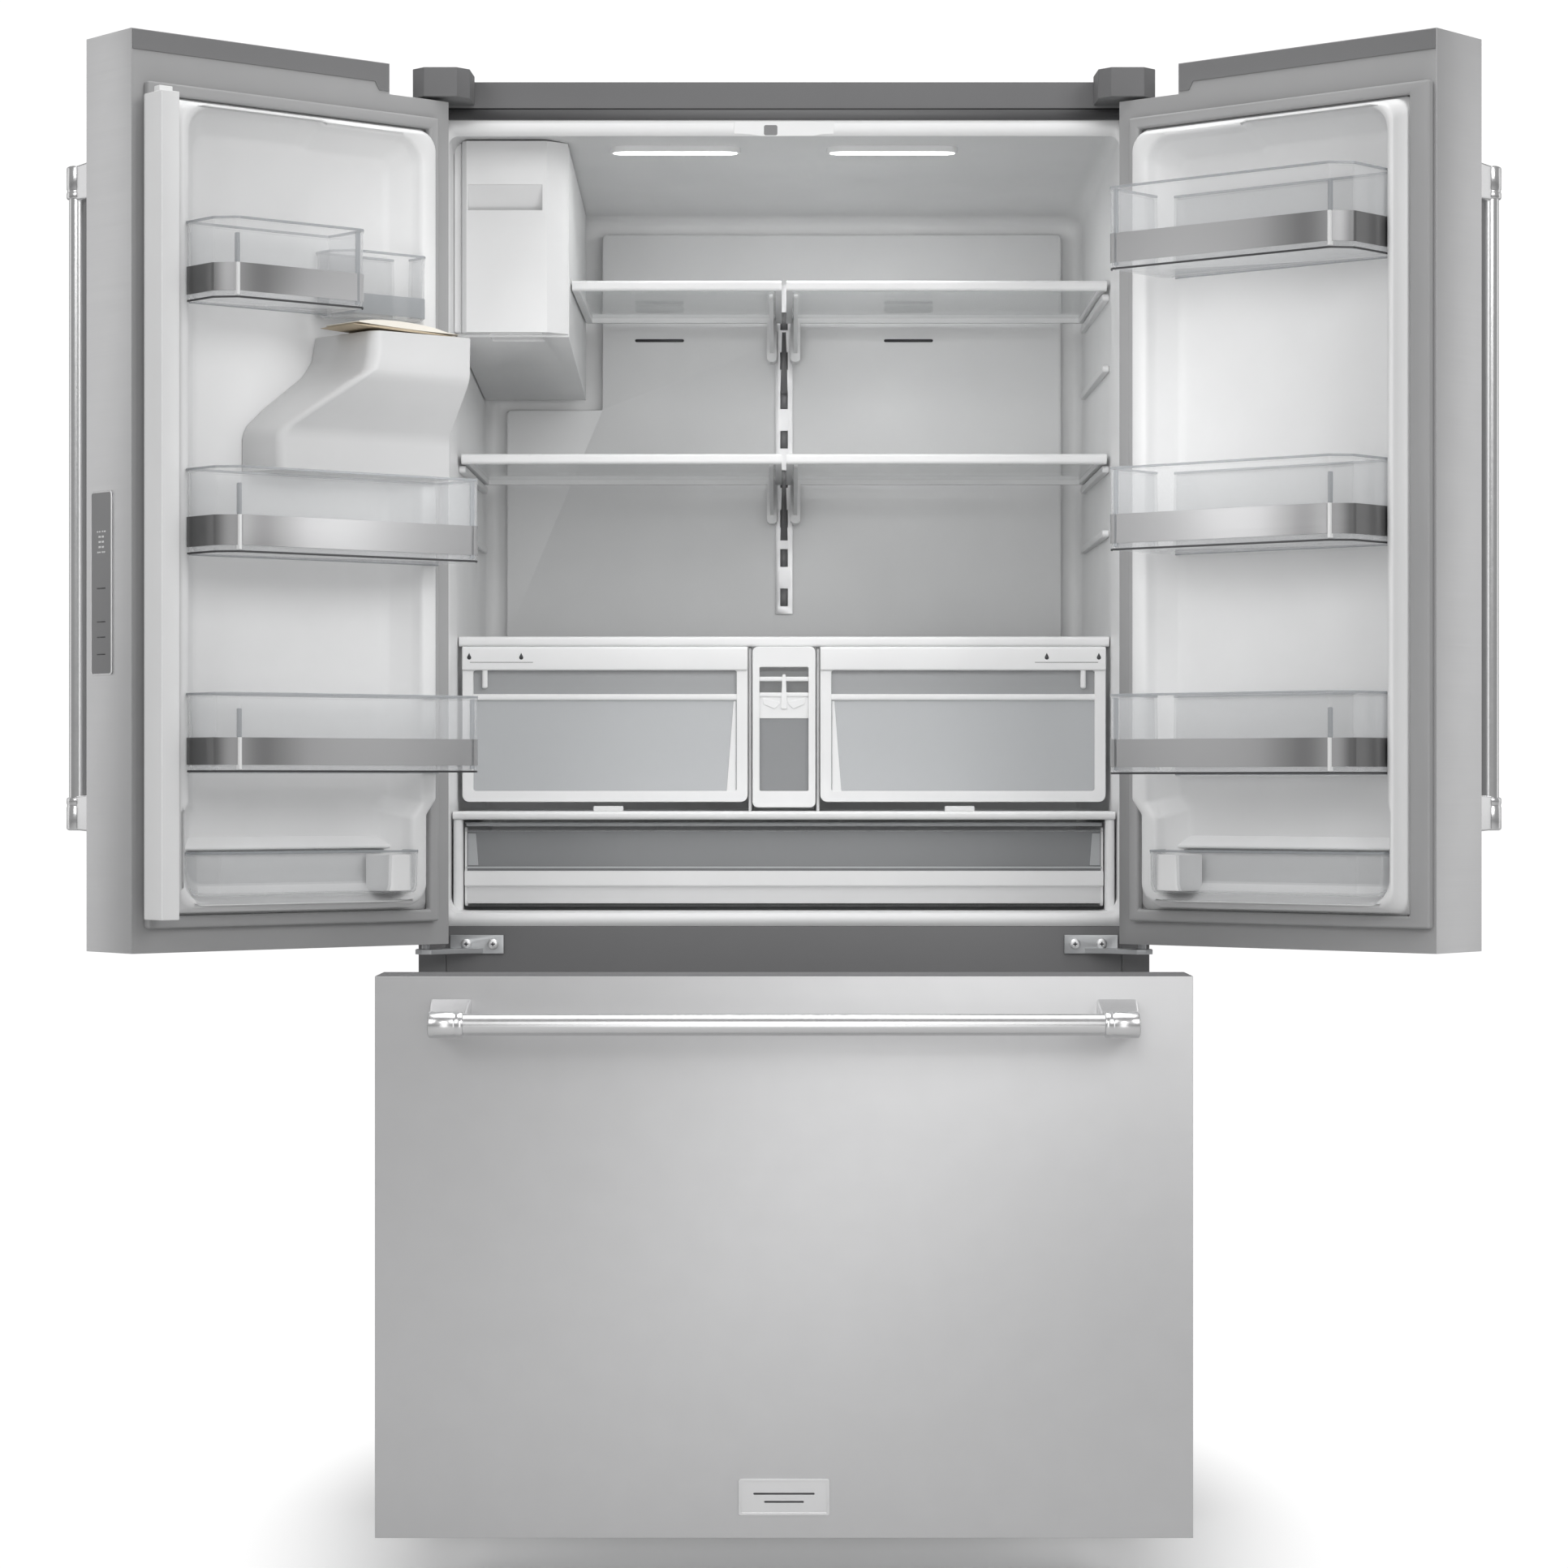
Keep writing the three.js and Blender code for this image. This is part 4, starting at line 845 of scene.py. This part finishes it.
def badge():
    """Blank name plate: a bordered steel plate with two plain lines."""
    face = extent("drawer_skin", DRAWER)[2]
    outline = fillet(rect(-50.5, 50.5, 106, 146.5), 2)
    inner = fillet(rect(-50.5, 50.5, 106, 146.5, 3), 1)
    plate = prism("y", fillet(rect(-50.5, 50.5, 106, 146.5, 1), 1.5), face - 1.2, face)
    border = hoop("y", outline, inner, face - 2.6, face)
    piece("badge_plate", join(plate, border), DRAWER, "freezer_drawer", "chrome", 0.4)
    lines = [prism("y", fillet(rect(-w, w, z - 1, z + 1), 0.9), face - 1.7, face - 1)
             for w, z in ((34, 130), (22, 121))]
    piece("badge_lines", join(*lines), DRAWER, "freezer_drawer", "dark", 0)


def control_marks():
    """Generic marks on the touch panel: a small display glyph and a column of button lines."""
    x0, x1, y0, y1, z0, z1 = extent("control_panel", LEFT)
    middle = (y0 + y1) / 2
    marks = []
    for z, half in ((1211, 10), (1187, 9)):
        marks += [block(x1 - 0.2, x1 + 0.25, middle + o - 1.6, middle + o + 1.6, z - 0.9, z + 0.9)
                  for o in (-half + 2, -half / 3, half / 3, half - 2)]
    for dz in (-6, 0, 6):
        marks.append(block(x1 - 0.2, x1 + 0.25, middle - 6, middle - 1, 1199 + dz - 1.2, 1199 + dz + 1.2))
        marks.append(block(x1 - 0.2, x1 + 0.25, middle + 1, middle + 6, 1199 + dz - 1.2, 1199 + dz + 1.2))
    piece("control_display", join(*marks), LEFT, "left_door", "white", 0)
    lines = [block(x1 - 0.2, x1 + 0.25, middle - 9, middle + 9, z - 0.6, z + 0.6)
             for z in (1145, 1106, 1088, 1068)]
    piece("control_lines", join(*lines), LEFT, "left_door", "dark", 0)
    outer, inner = fillet(rect(y0, y1, z0, z1, -1), 4), fillet(rect(y0, y1, z0, z1, 0.6), 3)
    border = hoop("x", outer, inner, x0, x1 + 0.3)
    piece("control_border", border, LEFT, "left_door", "zinc_pale", 0)


# ---------------------------------------------------------------- assembly

fresh_food_liner()
liner_ledges()
ceiling_details()
front_details()
hinge_screws()
evaporator_cover()
for shelf_node in ("upper_left_shelf", "upper_right_shelf", "lower_left_shelf", "lower_right_shelf"):
    glass_shelf(shelf_node, shelf_node, True)
glass_shelf("crisper_cover", "crisper_cover", False)
deck()
crisper("left_crisper", CABINET)
crisper("right_crisper", CABINET_MIRROR)
centre_drawer()
pantry_drawer()

for door_tag, door_space, door_body in (("left", LEFT, "left_door"), ("right", RIGHT, "right_door")):
    door_liner(door_tag + "_door_liner", door_tag + "_door_liner_shell", door_space, door_body)
    bar_handle(door_tag + "_door_handle", door_tag + "_handle_bar", door_space, door_body, "z", 0)
    door_trim(door_tag, door_space, door_body)
    skin_top = extent(door_tag + "_door_skin", door_space)[5]
    face_finish(door_tag + "_door_skin", door_space, (
        ("pale_paint", lambda c, n: abs(c.y) < 0.5 and abs(n.y) > 0.9),
        ("grey_paint", lambda c, n: c.z > skin_top - 0.5 and abs(n.z) > 0.9),
    ))
for bin_name in ("top", "side", "middle", "lower", "bottom"):
    door_bin(f"left_{bin_name}_bin", LEFT, "left_door", BIN_STYLES.get(bin_name, "painted_reflection_strip"))
for bin_name in ("upper", "middle", "lower", "bottom"):
    door_bin(f"right_{bin_name}_bin", RIGHT, "right_door", BIN_STYLES.get(bin_name, "painted_reflection_strip"))
ice_chute()
control_marks()
bar_handle("drawer_handle", "drawer_handle_bar", DRAWER, "freezer_drawer", "x", 12)
skin_low, skin_high = extent("drawer_skin", DRAWER)[4:]
face_finish("drawer_skin", DRAWER, (("grey_paint", lambda c, n: c.z > skin_high - 0.5 and abs(n.z) > 0.9),))
# Painted shade: faces inside the ice bin's grip recess get the darker copy of the white plastic.
face_finish("ice_bin", CABINET, (
    ("painted_shade_recess_white", lambda c, n: -397 < c.x < -302 and 60.2 < c.y < 78 and 1635 < c.z < 1669),
))
badge()

# ---------------------------------------------------------------- room, lights and camera

FLOOR_HALF = 30.0
floor_mesh = bpy.data.meshes.new("floor")
floor_mesh.from_pydata([(-FLOOR_HALF, -FLOOR_HALF, 0), (FLOOR_HALF, -FLOOR_HALF, 0), (FLOOR_HALF, FLOOR_HALF, 0),
                        (-FLOOR_HALF, FLOOR_HALF, 0)], [], [(0, 1, 2, 3)])
floor = bpy.data.objects.new("floor", floor_mesh)
bpy.context.scene.collection.objects.link(floor)


def floor_material():
    """Pale matt floor that fades to plain white away from the object and throws little light back up."""
    made = plastic("floor_white", "white_plastic", (0.9, 0.9, 0.9), 0.6, 0.005)
    nodes, links = made.node_tree.nodes, made.node_tree.links
    coords = nodes.new("ShaderNodeTexCoord")
    stretch = nodes.new("ShaderNodeVectorMath")
    stretch.operation = "MULTIPLY"
    stretch.inputs[1].default_value = (1.6, 0.8, 0)
    away = nodes.new("ShaderNodeVectorMath")
    away.operation = "LENGTH"
    fade = nodes.new("ShaderNodeMapRange")
    fade.interpolation_type = "SMOOTHSTEP"
    fade.inputs["From Min"].default_value = 0.6
    fade.inputs["From Max"].default_value = 1.15
    white = nodes.new("ShaderNodeEmission")
    white.inputs["Strength"].default_value = 1.05
    path = nodes.new("ShaderNodeLightPath")
    seen = nodes.new("ShaderNodeMath")
    seen.operation = "MULTIPLY"
    mix = nodes.new("ShaderNodeMixShader")
    tone = nodes.new("ShaderNodeMapRange")
    tone.inputs["To Min"].default_value = 0.6
    tone.inputs["To Max"].default_value = 0.85
    links.new(path.outputs["Is Camera Ray"], tone.inputs["Value"])
    links.new(tone.outputs["Result"], nodes["Principled BSDF"].inputs["Base Color"])
    links.new(coords.outputs["Object"], stretch.inputs[0])
    links.new(stretch.outputs["Vector"], away.inputs[0])
    links.new(away.outputs["Value"], fade.inputs["Value"])
    links.new(fade.outputs["Result"], seen.inputs[0])
    links.new(path.outputs["Is Camera Ray"], seen.inputs[1])
    links.new(seen.outputs["Value"], mix.inputs["Fac"])
    links.new(nodes["Principled BSDF"].outputs["BSDF"], mix.inputs[1])
    links.new(white.outputs["Emission"], mix.inputs[2])
    links.new(mix.outputs["Shader"], nodes["Material Output"].inputs["Surface"])
    return made


floor_mesh.materials.append(floor_material())


def area_light(name, place, target, size, watts):
    data = bpy.data.lights.new(name, "AREA")
    data.shape = "RECTANGLE"
    data.size, data.size_y = size
    data.energy = watts
    lamp = bpy.data.objects.new(name, data)
    lamp.location = place
    lamp.rotation_euler = (Vector(target) - Vector(place)).to_track_quat("-Z", "Y").to_euler()
    bpy.context.scene.collection.objects.link(lamp)
    return lamp


area_light("front_strip", (0, -3.0, 0.85), (0, 0, 0.85), (0.7, 3.2), 10)
area_light("high_fill", (0, -5.2, 2.6), (0, 0, 1.1), (1.6, 0.8), 6)
area_light("inner_fill", (0, -0.48, 1.35), (0, 0.4, 1.15), (0.8, 0.3), 1.3)
area_light("key_left", (-3.0, -4.3, 3.3), (0, 0, 1.0), (2.2, 2.2), 48)
area_light("key_right", (3.0, -4.3, 3.3), (0, 0, 1.0), (2.2, 2.2), 70)
area_light("top", (0, 0.0, 4.4), (0, 0, 0), (3.5, 3.5), 90)
area_light("side_left", (-3.4, 0.9, 1.3), (0, -0.4, 1.2), (1.6, 3.0), 9)
area_light("side_right", (3.4, 0.9, 1.3), (0, -0.4, 1.2), (1.6, 3.0), 9)
LAMP_Y = CABINET.translation.y + 0.16
area_light("cabinet_lamp", (0.05, LAMP_Y, 1.70), (0.05, LAMP_Y + 0.3, 1.0), (0.3, 0.1), 0.5)


def studio_world():
    """White behind the object for the camera, a softer grey for what the object reflects."""
    world = bpy.data.worlds.new("studio")
    world.use_nodes = True
    bpy.context.scene.world = world
    nodes, links = world.node_tree.nodes, world.node_tree.links
    nodes.clear()
    seen = nodes.new("ShaderNodeBackground")
    seen.inputs["Color"].default_value = (1, 1, 1, 1)
    seen.inputs["Strength"].default_value = 1.05
    lit = nodes.new("ShaderNodeBackground")
    lit.inputs["Color"].default_value = (1, 1, 1, 1)
    lit.inputs["Strength"].default_value = 0.36
    path = nodes.new("ShaderNodeLightPath")
    mix = nodes.new("ShaderNodeMixShader")
    out = nodes.new("ShaderNodeOutputWorld")
    links.new(path.outputs["Is Camera Ray"], mix.inputs["Fac"])
    links.new(lit.outputs["Background"], mix.inputs[1])
    links.new(seen.outputs["Background"], mix.inputs[2])
    links.new(mix.outputs["Shader"], out.inputs["Surface"])


studio_world()
bpy.context.scene.view_settings.view_transform = "Standard"

CAMERA_BACK = 5.027  # metres from the cabinet's front to the lens
camera_data = bpy.data.cameras.new("camera")
camera_data.sensor_width = 36
camera_data.lens = 93.2
camera_data.shift_y = -0.0016
camera = bpy.data.objects.new("camera", camera_data)
camera.location = (0, CABINET.translation.y - CAMERA_BACK, 0.92)
camera.rotation_euler = (math.radians(90), 0, 0)
bpy.context.scene.collection.objects.link(camera)
bpy.context.scene.camera = camera
